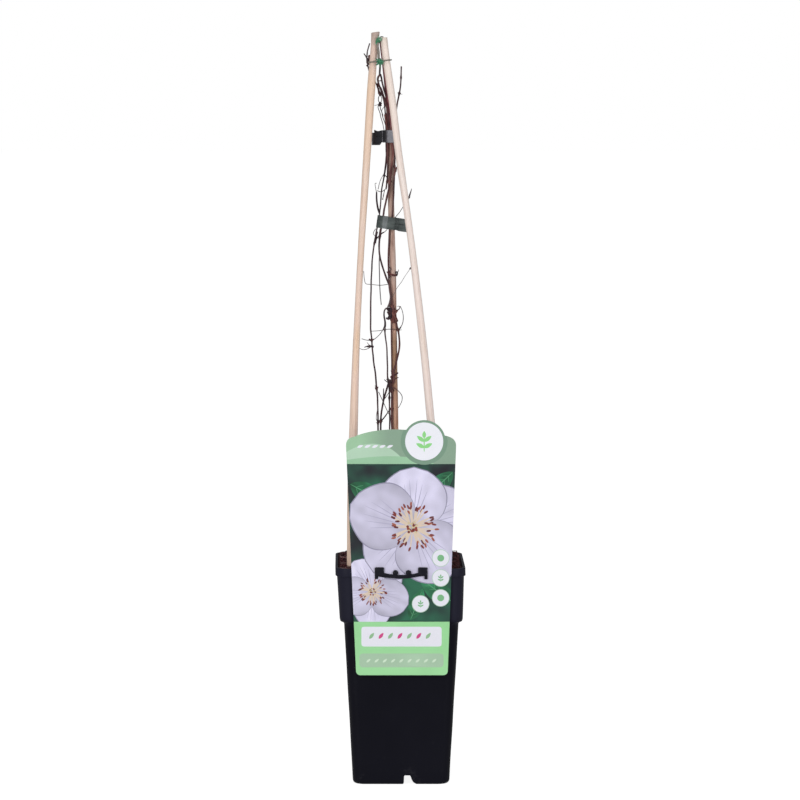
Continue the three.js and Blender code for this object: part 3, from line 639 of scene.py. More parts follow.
def prism(outline, y_start, y_end, quarter_turns=0):
    """A solid with its outline in X and Z that runs along Y, then turned about Z."""
    outline = anticlockwise(outline)
    count = len(outline)
    points = [(x, y, z) for y in (y_start, y_end) for x, z in outline]
    faces = [tuple(range(count)), tuple(range(2 * count - 1, count - 1, -1))]
    faces += [(i, count + i, count + (i + 1) % count, (i + 1) % count) for i in range(count)]
    turned = np.array(points, float)
    for _ in range(quarter_turns):
        turned = np.column_stack([-turned[:, 1], turned[:, 0], turned[:, 2]])
    return Shape().add(turned, faces)


def apply_modifiers(piece):
    dependencies = bpy.context.evaluated_depsgraph_get()
    piece.data = bpy.data.meshes.new_from_object(piece.evaluated_get(dependencies))
    piece.modifiers.clear()


def cut_or_join(piece, others, operation):
    """Cuts the other shapes from a piece, or joins them to it."""
    tools = [placed("tool", other.mesh("tool")) for other in others]
    for tool in tools:
        modifier = piece.modifiers.new("boolean", "BOOLEAN")
        modifier.operation = operation
        modifier.solver = "EXACT"
        modifier.object = tool
    apply_modifiers(piece)
    for tool in tools:
        bpy.data.objects.remove(tool)


def drain_notch(quarter_turns):
    foot = [(1.4, -1), (2.7, 0.5), (3.4, 2.2), (3.6, FOOT_HEIGHT - 1.4), (4.2, FOOT_HEIGHT - 0.5)]
    flare = [(9.2, FOOT_HEIGHT - 0.5), (10, FOOT_HEIGHT - 1.2), (11.4, 5), (12.8, 2.6), (15.2, 0.8)]
    return prism(foot + flare + [(17.5, -1)], -BASE_HALF - 1, 3 - BASE_HALF + FOOT_WIDTH, quarter_turns)


def drain_hole(x, y):
    return tube(Shape(), [(x, y, FOOT_HEIGHT + rise) for rise in (-2, 1, 4)], DRAIN_HOLE_RADIUS, 24)


BODY_SHIFT = ([0, 165, 172, 215, 222], [0.55, 0.85, 0.8, 0.2, 0.0])
RIM_SKEW = 0.0155
RIM_SKEW_RANGE = [150, 215]


def askew(shape):
    """A thin pot gives: its body stands to one side of the rim, and the back of the rim to the other."""
    for points in shape.points:
        _, y, z = points.T
        skew = RIM_SKEW * (y + RIM_HALF) * np.interp(z, RIM_SKEW_RANGE, [0, 1])
        points[:, 0] += np.interp(z, *BODY_SHIFT) - skew


FLEX = 0.22
FLEX_WAVE = 38


def make_pot(material):
    rings = []
    for half, z in with_long_runs_split(filleted(pot_profile())):
        ring = square_ring(half, z)
        stiff_lip = 0.25 if z > RIM_Z - LIP_DROP - 3 else 1.0
        flex = FLEX * wobble(ring, FLEX_WAVE, 3) * stiff_lip
        ring[:, :2] *= (1 + flex / max(half, 20))[:, None]
        rings.append(ring)
    shape = loft(rings)
    askew(shape)
    spread = DRAIN_HOLE_SPREAD
    holes = [(0, 0), (spread, spread), (-spread, spread), (-spread, -spread), (spread, -spread)]
    cutters = [drain_notch(i) for i in range(4)] + [drain_hole(x, y) for x, y in holes]
    pot = placed("look_pot", shape.mesh("pot"))
    cut_or_join(pot, cutters, "DIFFERENCE")
    finish(pot, "pot", material, 34)


# Height, wave and seed of the soil's unevenness.
LUMPS = [(1.5, 17, 1), (0.9, 6, 2), (0.45, 2.2, 4)]
SOIL_EDGE_DIP = 0.9
FIBRES = 1000
FIBRE_STEPS = 6
CHIPS = 260
SOIL_RINGS = 74


def soil_height(points):
    """Height of the soil over points in plan: lumps and crumbs, heaped at the back, lower at the wall."""
    flat = flattened(points)
    edge = np.abs(points[:, :2]).max(axis=1) / LIP_INNER_HALF
    lumps = sum(height * wobble(flat, wave, seed) for height, wave, seed in LUMPS)
    heaped = SOIL_HEAP * np.clip((points[:, 1] + 5) / 50, 0, 1)
    return SOIL_TOP_Z + SOIL_CROWN * (1 - edge ** 2) + lumps + heaped - SOIL_EDGE_DIP * edge ** 6


def fibre(shape, rng):
    """One root or strand of fibre that lies on the soil, arched a little above it."""
    reach = LIP_INNER_HALF - 2.5
    start = np.array([rng.uniform(-reach, reach), rng.uniform(-reach, reach)])
    heading = rng.uniform(0, 2 * math.pi)
    length = rng.uniform(6, 24)
    bend = rng.uniform(-0.14, 0.14)
    path = [start]
    for _ in range(FIBRE_STEPS):
        heading += bend + rng.uniform(-0.35, 0.35)
        path.append(path[-1] + length / FIBRE_STEPS * np.array([math.cos(heading), math.sin(heading)]))
    path = np.clip(np.array(path), -reach, reach)
    ground = soil_height(path)
    arch = rng.uniform(-0.2, 2.6) * np.sin(np.linspace(0, math.pi, len(path)))
    points = np.column_stack([path, ground + arch + 0.1])
    radius = rng.uniform(0.14, 0.42)
    taper = np.linspace(1, 0.5, len(points)) * radius
    # The right half's fibres are kept darker than the left's: painted shade on the right.
    palest_by_painted_shade = 1.2 if start[0] < 0 else 0.6
    tube(shape, points, taper, 5, dry=1.0, tone=min(1.0, rng.random() * palest_by_painted_shade))


def chip(shape, rng):
    """One crumb or flake of bark, half sunk in the soil."""
    reach = LIP_INNER_HALF - 4
    x, y = rng.uniform(-reach, reach), rng.uniform(-reach, reach)
    size = rng.uniform(1.0, 3.4)
    centre = np.array([x, y, soil_height(np.array([[x, y, 0.0]]))[0] + 0.15 * size])
    turn = rng.uniform(0, math.pi)
    tilt = rng.uniform(-0.5, 0.5)
    long_way = np.array([math.cos(turn), math.sin(turn), tilt]) * size
    path = [centre + long_way * t for t in (-0.5, -0.3, 0, 0.3, 0.5)]
    radii = size * np.array([[rng.uniform(0.2, 0.45) for _ in range(6)] for _ in path])
    radii[0] *= 0.5
    radii[-1] *= 0.5
    tube(shape, path, radii, 6, dry=rng.choice([0.0, 0.8]), tone=rng.uniform(0.0, 0.7))


def make_soil(material):
    floor = FOOT_HEIGHT + WALL + GAP
    wall = [
        (1, floor), (BASE_HALF - WALL - 0.5, floor), (BODY_TOP_HALF - WALL - 0.6, COLLAR_BOTTOM_Z - 3),
        (COLLAR_BOTTOM_HALF - WALL - 0.5, COLLAR_BOTTOM_Z + 2.5),
        (COLLAR_TOP_HALF - WALL - GAP, RIM_Z - LIP_DROP),
    ]
    rings = [square_ring(half, z) for half, z in wall]
    for half in np.linspace(LIP_INNER_HALF - GAP, 0.6, SOIL_RINGS):
        ring = square_ring(half, 0.0)
        ring[:, 2] = np.minimum(soil_height(ring), RIM_Z + 1.5)
        rings.append(ring)
    shape = loft(rings)
    rng = random.Random(11)
    for _ in range(FIBRES):
        fibre(shape, rng)
    for _ in range(CHIPS):
        chip(shape, rng)
    askew(shape)
    shape.piece("growing_medium", material, 60)


# ---------------- canes
LEFT_CANE = [
    (-49.5, -32, 221), (-49.1, -28.5, 286), (-47, -24, 361), (-44.4, -19.5, 438), (-39.6, -13.5, 534),
    (-33.6, -8.3, 630), (-28.2, -3.4, 713), (-25, -1, 753.3),
]
LEFT_CANE_GIRTH = [
    (300, 4.4), (360, 4.4), (390, 4.05), (421, 3.7), (470, 3.35), (533, 3.25), (565, 3.45), (597, 3.65),
    (661, 3.9), (695, 4.1), (712, 3.9), (727, 3.6), (740, 3.6), (748, 4.0), (754, 4.4),
]
RIGHT_CANE = [
    (43.2, -32, 221), (30.3, -24.5, 366), (23.2, -20.5, 438), (12, -15, 534), (5.4, -12, 582),
    (-1.5, -9.5, 630), (-8.4, -6.8, 686), (-14.6, -4.8, 729), (-16.8, -3.6, 748.0),
]
RIGHT_CANE_GIRTH = [
    (300, 4.1), (373, 4.05), (437, 3.85), (469, 3.8), (501, 3.65), (549, 3.45), (581, 3.4), (613, 3.75),
    (650, 3.5), (700, 3.7), (749, 3.6),
]
REAR_CANE = [
    (-3.6, 42, 217), (-5.4, 32.5, 355), (-6.6, 27.5, 430), (-8, 21.3, 522), (-9.4, 17.8, 572),
    (-9.7, 16.3, 595), (-9.9, 13.4, 636), (-11.0, 11.4, 668), (-13.4, 9.4, 702), (-18.2, 6.6, 744),
]
CANES = [(LEFT_CANE, PALE_CANE_RADIUS), (RIGHT_CANE, PALE_CANE_RADIUS), (REAR_CANE, REAR_CANE_RADIUS)]


def cane_path(points, step):
    buried = point_at_height(points, points[0][2] - CANE_LENGTH_BELOW)
    return smooth_curve([buried, *points], step)


def make_pale_cane(name, points, girth, seed, slope, material):
    """A planed cane whose radius varies with height, sawn across at the top with the given slope."""
    sides = 22
    path = cane_path(points, 2.5)
    around = angles_round(sides)
    heights, widths = zip(*girth)
    radii = np.interp(path[:, 2], heights, widths)[:, None] * np.ones(sides)
    radii += 0.03 * wobble(path, 12, seed)[:, None]
    radii += 0.05 * wobble(path, 9, seed + 1)[:, None] * np.cos(2 * around + seed)
    path[-1] += (path[-2] - path[-1]) * 0.25
    path = np.vstack([path, path[-1] + (path[-1] - path[-2]) * 0.2])
    radii = np.vstack([radii, radii[-1] - 0.4])
    shape = tube(Shape(), path, radii, sides, dome=0.02)
    saw_slope(shape, path[-1], sides, slope)
    shape.piece(name, material, 38)


def saw_slope(shape, top, sides, slope):
    """Shears the last two rings of a tube, so that its end is cut on a slant rising towards +X."""
    points = shape.points[-1]
    cut = points[-2 - 2 * sides:]
    moved = np.arange(len(cut)) != 2 * sides
    cut[moved, 2] += slope * (cut[moved, 0] - top[0])


def make_rear_cane(material):
    """An older, weathered cane: ridged, with slight joints and flakes."""
    sides, step = 20, 2.0
    path = cane_path(REAR_CANE, step)
    around = angles_round(sides)
    along = np.arange(len(path)) * step
    radii = np.full((len(path), sides), REAR_CANE_RADIUS - 0.05)
    radii += 0.12 * wobble(path, 24, 5)[:, None]
    radii += 0.14 * np.cos(7 * around + 0.004 * along[:, None]) * (0.6 + 0.4 * wobble(path, 40, 8)[:, None])
    skin = np.array([[(12 * math.cos(a), 12 * math.sin(a), s / 3) for a in around] for s in along])
    radii += 0.16 * wobble(skin.reshape(-1, 3), 5, 6).reshape(radii.shape)
    shape = tube(Shape(), path, np.minimum(radii, REAR_CANE_RADIUS + 0.12), sides)
    shape.piece("rear_cane", material, 50)


# ---------------- vines
def shoot(route, radius, red=(0, 0), dry=(0, 0), nodes=(), tip=None):
    """One stem, tendril or bit of one, with its radius, redness and dryness at its foot and its tip.

    A route point is (x, z, how far it lies in front (-) or behind (+) the rear cane's middle), and
    nodes are the heights of its joints.
    """
    return {"route": route, "radius": (radius, tip or 0.8 * radius), "red": red, "dry": dry, "nodes": nodes}


OUTER_VINE = [
    shoot([(-15, SOIL_ENTRY_Z, -8), (-16.5, 258, -9), (-20, 300, -9), (-22.9, 350, -7), (-23, 369, -7),
           (-24.5, 400, -7), (-28.5, 433, -7), (-30, 458, -7), (-30, 484, -7), (-28, 530, -6),
           (-24.2, 553, -4), (-22, 565, -3), (-19, 594, -3), (-16.6, 609, -2), (-14.4, 626, -2),
           (-14.8, 645, -2), (-14.6, 658, -3.5), (-15.2, 671, -4.5), (-16.2, 682, -5), (-18.4, 690, -4.8),
           (-21, 693.8, -4.4), (-22.6, 697, -4), (-24, 701, -2.5), (-26, 705.5, -0.5), (-30, 711, 0),
           (-33, 722, 1), (-33.5, 732, 1), (-31, 742, 2)], 1.0, red=(0.25, 0.05),
          nodes=(242, 306, 359, 394, 443, 541, 610, 724), tip=0.6),
    shoot([(-21.2, 572, -3), (-23, 577, -5), (-24, 584, -6), (-24, 593, -6)], 1.0, tip=0.8),
    shoot([(-16.6, 609, -2.6), (-14.6, 622, -3.2), (-13.9, 634, -3.6), (-14, 646, -3.4)], 0.8, red=(0, 0.3),
          tip=1.15),
    shoot([(-31.8, 443.8, -7), (-29.4, 442.8, -7.6), (-26.4, 444.2, -7)], 1.1, red=(0.5, 0.3), tip=0.5),
    shoot([(-27.4, 436.2, -7), (-30.5, 437, -8), (-33, 437, -9), (-36.6, 436, -10)], 1.15, tip=0.4),
    shoot([(-31.5, 437.4, -9), (-33, 439.8, -10), (-34, 440.8, -10)], 0.4, dry=(0.2, 0.6)),
    shoot([(-30, 436.2, -9), (-34, 434.2, -10.5), (-38, 433.6, -11), (-41.5, 435, -12)], 0.4,
          dry=(0.3, 0.8)),
    shoot([(-25.8, 541.5, -4.4), (-25, 547, -4.4), (-23.6, 553, -4.2)], 1.25, tip=1.0),
    shoot([(-22.8, 374, -7.2), (-24.2, 368, -7.6), (-24.6, 362, -7.6), (-23.4, 359.6, -7)], 0.42,
          dry=(0.4, 0.7)),
    shoot([(-29.5, 443, -7), (-34, 443.5, -14), (-39, 445.5, -22)], 0.45, dry=(0.1, 0.4)),
    shoot([(-25, 556, -4), (-27, 553, -5), (-27.5, 551, -6), (-26, 549, -5.5)], 0.4, dry=(0.3, 0.8)),
    shoot([(-24, 592, -6), (-25.2, 598, -8), (-25.5, 602, -9), (-24, 602, -9)], 0.4, dry=(0.5, 1)),
    shoot([(-24, 394, -7), (-26, 396.5, -8)], 0.5, red=(0.6, 0.6)),
    shoot([(-19.6, 690, -4.4), (-21, 692, -4.6), (-22, 695, -4.8), (-22.9, 698.5, -4.6),
           (-23.6, 702, -4.6)], 1.1, red=(0.2, 0.8), nodes=(693,), tip=0.8),
    shoot([(-20.8, 690.5, -4), (-22, 688, -5), (-22, 684.5, -5), (-20.6, 682.2, -4.5)], 0.5,
          dry=(0.2, 0.5)),
    shoot([(-20.4, 690.5, -5), (-18.9, 687.5, -6), (-19.2, 684, -6), (-20.6, 682, -5)], 0.42,
          dry=(0.3, 0.6)),
    shoot([(-20.6, 682, -4.5), (-23.3, 680.6, -5.5), (-26, 680, -6)], 0.35, dry=(0.2, 0.6)),
    shoot([(-19.8, 683, -4.8), (-20.8, 681.2, -5), (-21.4, 679.4, -4.8)], 1.5, tip=1.1),
    shoot([(-21.5, 681, -4.5), (-22.5, 679, -5), (-22, 676.5, -5), (-20.5, 672.5, -4.5), (-19.5, 667.5, -4),
           (-18, 662.5, -4), (-17, 657.5, -3.5), (-15, 648.5, -3)], 0.45, dry=(0.5, 0.1)),
    shoot([(-21, 681, -4.5), (-20.5, 679, -5), (-20, 676.5, -5), (-18.5, 672.5, -4.5), (-17.5, 667.5, -4.5),
           (-16, 663.5, -4.5), (-14.5, 657.5, -4.5), (-13.5, 648.5, -4.5)], 0.5, dry=(0.4, 0),
          nodes=(671,)),
    shoot([(-16, 682.5, -3), (-16, 679.5, -5), (-18.5, 676, -5), (-19, 673.5, -4.7)], 0.35, dry=(0.2, 0.4)),
    shoot([(-31.8, 724.5, 0.5), (-34, 728.4, 0), (-36.6, 732, -0.5)], 0.85, dry=(0.3, 0.7), tip=0.55),
    shoot([(-34.4, 728.6, 0), (-33.2, 731, 0.5), (-33, 733.5, 1)], 0.6, dry=(0.5, 0.4), tip=0.4),
    shoot([(-33.4, 727, 1), (-32.8, 723.5, 1.5), (-31, 721, 2.5)], 1.2, dry=(0.3, 0.1), nodes=(723,),
          tip=1.0),
    shoot([(-31.6, 730, 1), (-31, 727, 0.5), (-30.4, 724.5, 1)], 1.5, red=(0.6, 0.8), tip=1.1),
    shoot([(-34, 720.4, 0), (-32.6, 718.8, 0.5), (-31.8, 716, 1), (-31, 712.5, 1.2)], 0.75, red=(0.2, 0.5)),
]

SPIRAL_VINE = [
    shoot([(-4.5, SOIL_ENTRY_Z, -7), (-6.4, 278, -6), (-8.4, 350, -5), (-9.2, 366, -4.5), (-8.5, 385, -4.5),
           (-9, 402, -4.5), (-4.5, 420, -5), (-1, 436, -1.5), (-2, 451, -0.5), (-3.6, 458, -4),
           (-5, 466, -5), (-7.4, 476, -5.2), (-8.9, 484, -5.2), (-9.8, 490, -5), (-11.4, 502, -4),
           (-12.4, 525, -3), (-11.6, 545, -3.8), (-10.6, 556, -4.6), (-8.3, 568, -5), (-7.5, 580, -4.8),
           (-6.8, 593, -4.4), (-5.8, 620, -4.2), (-5.3, 640, -3.5), (-6.5, 660, 0), (-3.5, 680, 0),
           (0, 700, -1), (0.8, 719, -1)], 1.2, red=(0.8, 0.2),
          nodes=(250, 312, 372, 391, 453, 474, 512, 619, 692, 708), tip=0.75),
    shoot([(-11, 498, -4.5), (-14.5, 507, -6), (-18.5, 519, -6.5), (-21.3, 532, -6.5), (-21, 548, -6.5),
           (-18.5, 562, -6.5), (-16.3, 576, -6.5), (-11.6, 597, -7), (-9.3, 617, -7.3), (-7.6, 634, -7),
           (-10.6, 653, -6), (-12.8, 673, -5.5), (-15.4, 684, -5.5), (-17.7, 691, -6), (-20.1, 697, -6.5),
           (-22.3, 703, -7), (-22.6, 707, -7), (-20.9, 710.8, -7)], 0.95, red=(0.1, 0.5), nodes=(549, 671),
          tip=0.95),
    shoot([(-20.9, 710.4, -7), (-20.7, 718, -6.8), (-20.6, 727, -6.5)], 0.95, dry=(0.7, 0.8), tip=1.05),
    shoot([(-21.6, 702.2, -7), (-23.2, 705.2, -7.4), (-22.8, 708.4, -7.2), (-21.2, 710.6, -7)], 0.8,
          dry=(0.7, 0.9)),
    shoot([(-15.6, 579, -6.6), (-14.1, 587, -6.8), (-11.6, 597, -7), (-9.3, 617, -7.3), (-7.6, 634, -7),
           (-9, 645, -6.5)], 0.75, red=(0.4, 1), nodes=(604,), tip=1.7),
    shoot([(-11.8, 504, -4.6), (-10.8, 494, -5.6), (-10, 487, -5.8), (-10.8, 481, -5.6), (-12.2, 477, -5)],
          1.0, red=(0.6, 0.2), dry=(0.1, 0.2), tip=1.15),
    shoot([(-10.4, 474, -4.8), (-8, 470, -6), (-5, 466, -6), (-3.2, 462, -4.5)], 1.2, red=(1, 0.8),
          tip=1.1),
    shoot([(-10, 463, -4.6), (-7.5, 466.5, -6.2), (-5, 470.5, -6.2), (-3, 473, -4.5)], 1.0, red=(0.9, 0.9)),
    shoot([(-9, 478, -4.6), (-7.4, 473, -5.2), (-7, 467, -5.4), (-6.6, 460.5, -4.6)], 1.25, red=(1, 0.9),
          tip=1.0),
    shoot([(-7.4, 475, -5), (-5.6, 471, -5.2), (-4.8, 466, -5), (-4.6, 460, -4.4)], 1.1, red=(0.9, 1),
          tip=1.0),
    shoot([(-8.8, 473, -4.6), (-8.8, 467, -4.8), (-8.2, 461, -4.4)], 1.2, red=(0.8, 0.9), tip=1.0),
    shoot([(-21.2, 530, -6.5), (-21.5, 517, -6.8), (-20.5, 491, -7), (-19.5, 479, -7)], 0.6, dry=(0.5, 1)),
    shoot([(-14.6, 596, -6), (-13.6, 604, -5.4), (-13.2, 612, -5), (-12.9, 626, -4.8), (-12.7, 640, -4.8),
           (-13.3, 655, -4.8), (-15.5, 671, -4.8)], 0.7, red=(0.2, 0.9), nodes=(604,), tip=1.1),
    shoot([(-19.2, 705.6, -6.4), (-20.2, 704.6, -6.8), (-21.4, 704.6, -7.4), (-22.4, 706, -7.4)], 0.6,
          dry=(0.9, 0.9)),
    shoot([(-20.3, 698, -6.5), (-18, 691.5, -6), (-15.4, 684, -5.5), (-13.4, 676.5, -5.2)], 1.2,
          red=(0.1, 0.4), tip=1.0),
    shoot([(-8, 487, -5.5), (-3.6, 496, -8.5), (0.4, 501.6, -13), (5, 509.6, -21), (9.9, 517, -28)], 0.3,
          dry=(0.7, 1)),
    shoot([(9.4, 516.4, -27.4), (10.3, 517.8, -28), (11.2, 518.4, -29)], 0.85, dry=(0.2, 0.4), tip=0.6),
    shoot([(-11, 500, -4.5), (-20, 499, -9), (-29.5, 500, -11), (-35, 501, -15), (-36.5, 507, -19),
           (-37, 514, -21)], 0.38, dry=(0.4, 1)),
    shoot([(-2.5, 453.5, 0), (-3.3, 453.5, -3.6), (-7, 454, -5.2), (-14, 454, -6.5), (-21, 452.8, -8),
           (-29.3, 452.3, -9.5)], 0.42, red=(0.6, 0), dry=(0, 0.8)),
    shoot([(-2.8, 452, 0), (-0.8, 454.5, -0.5), (0.6, 455.6, -0.8)], 1.0, tip=0.5),
    shoot([(-1, 454.5, -0.5), (1.5, 458, -1), (2.8, 465, -2), (2, 472, -3), (0, 477, -4)], 0.48,
          dry=(0.2, 0.7)),
    shoot([(-4.4, 473, -5), (-1.4, 474.6, -6), (-0.2, 477.6, -6)], 0.7, red=(0.5, 0.2), tip=0.4),
    shoot([(-0.6, 476.6, -5.6), (-2, 477.9, -5), (-3, 476.8, -5)], 0.35),
    shoot([(-9.4, 395.5, -5), (-5.6, 393.5, -6), (-2.2, 391, -6)], 0.65, red=(0.8, 0.3), tip=0.45),
    shoot([(-2.5, 391.2, -6), (0.3, 388, -6), (1.6, 385, -6), (1.2, 380.4, -5.5), (-0.5, 376.4, -5),
           (-2.2, 373.4, -5)], 0.45, dry=(0.1, 0.8)),
    shoot([(-9.6, 404.5, -4.8), (-7.6, 407, -6), (-4.8, 408, -5.6), (-2.6, 409.4, -4)], 1.4, red=(0.5, 0.4),
          tip=0.8),
    shoot([(-8.8, 412, -4.6), (-7.6, 408, -6), (-6.6, 404, -6), (-7.4, 399, -5.6)], 1.2, red=(0.6, 0.6),
          tip=1.0),
    shoot([(-9.8, 396, -5.5), (-7.6, 400, -6), (-5, 403.4, -6), (-2.2, 404.6, -4.6)], 0.6, red=(0.7, 0.3),
          tip=0.5),
    shoot([(-11, 402.5, -5), (-10.4, 398, -6), (-9.8, 393.5, -6), (-9.4, 389, -5.5)], 1.0, red=(0.1, 0.5),
          tip=0.8),
    shoot([(-21, 549.5, -6.5), (-18.6, 551.6, -6.5), (-16.6, 552.6, -6.2)], 0.85, tip=0.6),
    shoot([(-17, 552.4, -6.2), (-15.2, 553.6, -6), (-13, 556, -5.5)], 0.42, dry=(0.1, 0.4)),
    shoot([(-21.2, 546, -6.6), (-20.9, 551, -6.7), (-20, 556, -6.6)], 1.2, red=(0.1, 0.4), tip=1.0),
    shoot([(-25.2, 543.5, -4.8), (-23.4, 547, -6), (-21.3, 549, -6.5)], 0.75, tip=0.6),
    shoot([(-23.5, 594.5, -7), (-19.5, 593.5, -8), (-16, 595.5, -7.5), (-13.5, 598, -6.5)], 0.45,
          dry=(0.2, 0.2)),
    shoot([(-22.5, 596, -7), (-21, 602.5, -7.5), (-18.5, 608.5, -7), (-17, 611, -7)], 0.4, dry=(1, 0.6)),
    shoot([(-16, 595, -7), (-17, 590, -7.5), (-18, 585.5, -7.5)], 0.4, nodes=(590, 586)),
    shoot([(-16.5, 611, -4), (-14.5, 609, -6), (-12.5, 606, -6)], 0.5),
    shoot([(-8, 564, -5), (-5, 568, -7), (-1, 573, -12), (3, 579, -17), (7.4, 585, -19), (9, 588.2, -19)],
          0.42, dry=(0.6, 0.6)),
    shoot([(8.6, 587.6, -19), (9.2, 590.6, -19), (10.3, 593.8, -19), (11.2, 597, -19)], 1.0, dry=(0.2, 0.5),
          tip=0.3),
    shoot([(-20.4, 711.4, -6.5), (-19.4, 708.4, -6.4), (-18.6, 704.2, -6.2), (-17.5, 700, -6),
           (-16.2, 694.5, -5.8), (-14.6, 689, -5.4)], 0.95, red=(0, 0.3)),
    shoot([(-11.4, 510.6, -4), (-8.7, 509.4, -4.9), (-6, 508.8, -4.8), (-4.4, 509.2, -3.4)], 1.15,
          red=(0.9, 0.6)),
    shoot([(-5, 511.6, -3.6), (-3.4, 512.4, -2.6), (-2.9, 509.8, -2), (-4.2, 508.2, -2.4)], 0.8, tip=0.6),
    shoot([(-3.4, 512, -2.8), (-2, 513, -3), (-2.2, 514.6, -3.4)], 0.4),
    shoot([(-12, 517.5, -4.2), (-10.4, 516, -5), (-10.6, 513, -5.2), (-12, 511.5, -4.8)], 0.6,
          red=(0.2, 0.2)),
    shoot([(-12.2, 509.6, -4.6), (-10.4, 508, -5.2), (-11.4, 505.6, -5)], 0.6, red=(0.2, 0.2)),
    shoot([(-6.2, 610, -4.4), (-5.2, 615, -4.8), (-3.8, 618, -4.2)], 1.1, red=(0.8, 0.4), nodes=(615,),
          tip=0.8),
    shoot([(-4.2, 617.5, -2), (-2.9, 620, -2.5), (-3.4, 626, -3), (-4.4, 631, -3.5), (-5.4, 636, -3.6)],
          0.42, dry=(0.2, 0.3)),
    shoot([(-9, 408, -4), (-9, 427.5, -4), (-9, 443, -4), (-9, 458, -4), (-8, 465.5, -4)], 0.6,
          red=(0.5, 0.2)),
]

INNER_VINE = [
    shoot([(-10.5, SOIL_ENTRY_Z, -2), (-11, 278, -1), (-10.9, 350, -0.5), (-11.3, 372, 0), (-11.3, 390, 0),
           (-13, 404, 0), (-13.2, 415, -1), (-14, 435, -1), (-16, 453, -2), (-15.6, 461.5, -3),
           (-16.7, 469, -3.5), (-16, 473.5, -3.5), (-14.2, 475.4, -3.8), (-12.4, 475.6, -4)], 0.9,
          red=(0.5, 0.4), dry=(0, 0.45), nodes=(262, 330, 383, 402, 453), tip=0.75),
    shoot([(-15.7, 456, -3.5), (-15.6, 461.5, -3.8), (-16.6, 468, -4), (-16.6, 472, -4.2)], 1.05, tip=0.7),
    shoot([(-12, 475.6, -4.6), (-10.6, 471, -5), (-10.4, 466.5, -5), (-12, 464.6, -5), (-14.4, 465.4, -5)],
          1.7, tip=1.0),
    shoot([(-9.6, 476, -5), (-9.4, 471, -5.6), (-9.8, 465, -5.4)], 1.3, tip=1.2),
    shoot([(-12.8, 475, -4.8), (-12.8, 477.8, -4.8), (-11.5, 478.8, -5), (-10.5, 477, -5),
           (-11, 474.6, -5)], 0.6),
    shoot([(-9.6, 482, -4.5), (-11.2, 479.6, -4.8), (-12.6, 477.4, -4.8)], 0.6),
    shoot([(-16, 458, -4), (-18.5, 452.5, -5), (-21, 449, -6), (-23.5, 446.5, -7), (-26.5, 444, -7),
           (-28.3, 443, -7)], 0.45, dry=(0.1, 0.5)),
    shoot([(-12.2, 398.8, -2), (-14.4, 400.4, -3), (-16.4, 402.4, -4)], 0.55, dry=(0.1, 0.5)),
    shoot([(-11.4, 389.6, -3), (-13.4, 386.6, -4.5), (-15.8, 383, -5)], 0.45, dry=(0, 0.2)),
]

SHORT_VINE = [
    shoot([(-18.5, SOIL_ENTRY_Z, -13), (-19.3, 278, -12), (-20, 325, -11), (-20.1, 349, -9),
           (-19.6, 367, -6), (-17.8, 378.5, -4.4), (-16, 386, -4.4), (-13.9, 393, -4.6), (-12, 399.5, -5)],
          0.95, red=(0.3, 0.1), nodes=(248, 300, 360), tip=0.95),
    shoot([(-17.8, 377.6, -4.8), (-17.2, 386, -5.5), (-17.1, 393.4, -6)], 0.8, tip=0.5),
    shoot([(-22.2, 390, -6.8), (-19.8, 384.4, -6), (-18, 380.6, -5.6), (-15.6, 375, -6),
           (-13.5, 370.4, -5.6), (-11.4, 366.4, -4.8)], 0.45, dry=(0.5, 0.3)),
    shoot([(-18.8, 361, -6), (-15.5, 365.2, -6.5), (-11.6, 371, -7)], 0.65, dry=(0, 0.2)),
    shoot([(-23.6, 361.8, -7), (-21.2, 359.2, -6.8), (-18.9, 361, -6.2)], 0.8),
]

# Dead leaves and bud clusters: the middle as a route point, length, width, and how many there are.
OUTER_REMAINS = [((-31.5, 437, -9), 3.6, 1.5, 2), ((-20.9, 681.2, -5), 2.4, 2.2, 3),
                 ((-33, 725, 0), 3.6, 2.0, 2)]
SPIRAL_REMAINS = [((-3.6, 509, -4), 2.2, 1.6, 2), ((-9.6, 400, -6), 3.4, 2.0, 2),
                  ((-9.8, 394, -6), 3.4, 1.8, 2), ((-6.5, 467, -6), 3.4, 2.4, 1)]
INNER_REMAINS = [((-10.9, 470.5, -5.4), 5.0, 3.0, 7), ((-12.2, 474, -5), 3.6, 2.2, 4),
                 ((-10.8, 466.8, -5), 4.0, 2.4, 5)]
SHORT_REMAINS = [((-17, 385.5, -5.6), 2.4, 1.2, 1)]

VINE_STEP = 1.1
VINE_WANDER = 0.45
WANDER_WAVE = 13
BARK_RIDGES = 5
RIDGE_DEPTH = 0.07
JOINT_SWELL = 0.55
JOINT_LENGTH = 1.5
CURL_SHARE = 0.35
CLEAR_OF_CANE = 0.25


def off_the_canes(path, radius):
    """Moves points sideways until the stem is clear of all three canes."""
    moved = path.copy()
    for points, cane_radius in CANES:
        reach = cane_radius + radius + CLEAR_OF_CANE
        for i, (x, y, z) in enumerate(moved):
            if z > points[-1][2] + 2:
                continue
            middle = point_at_height(points, z)
            away = np.array([x - middle[0], y - middle[1]])
            distance = np.linalg.norm(away)
            if distance < reach:
                away = away * reach / max(distance, 0.1)
                moved[i, :2] = middle[:2] + away
    return moved


def route_point(x, z, offset):
    return np.array([x, point_at_height(REAR_CANE, z)[1] + offset, z])


def vine_controls(piece):
    """A stem's route, clear of the canes."""
    return off_the_canes(np.array([route_point(*stop) for stop in piece["route"]]), piece["radius"][0])


def vine_path(piece, seed):
    """A smooth path through a stem's route, which wanders a little but not at its ends."""
    radius = piece["radius"][0]
    path = smooth_curve(vine_controls(piece), VINE_STEP)
    wander = min(1, radius) * VINE_WANDER * np.sin(np.linspace(0, math.pi, len(path))) ** 0.5
    path[:, 0] += wander * wobble(path, WANDER_WAVE, seed)
    path[:, 1] += wander * wobble(path, WANDER_WAVE, seed + 9)
    return off_the_canes(path, radius)


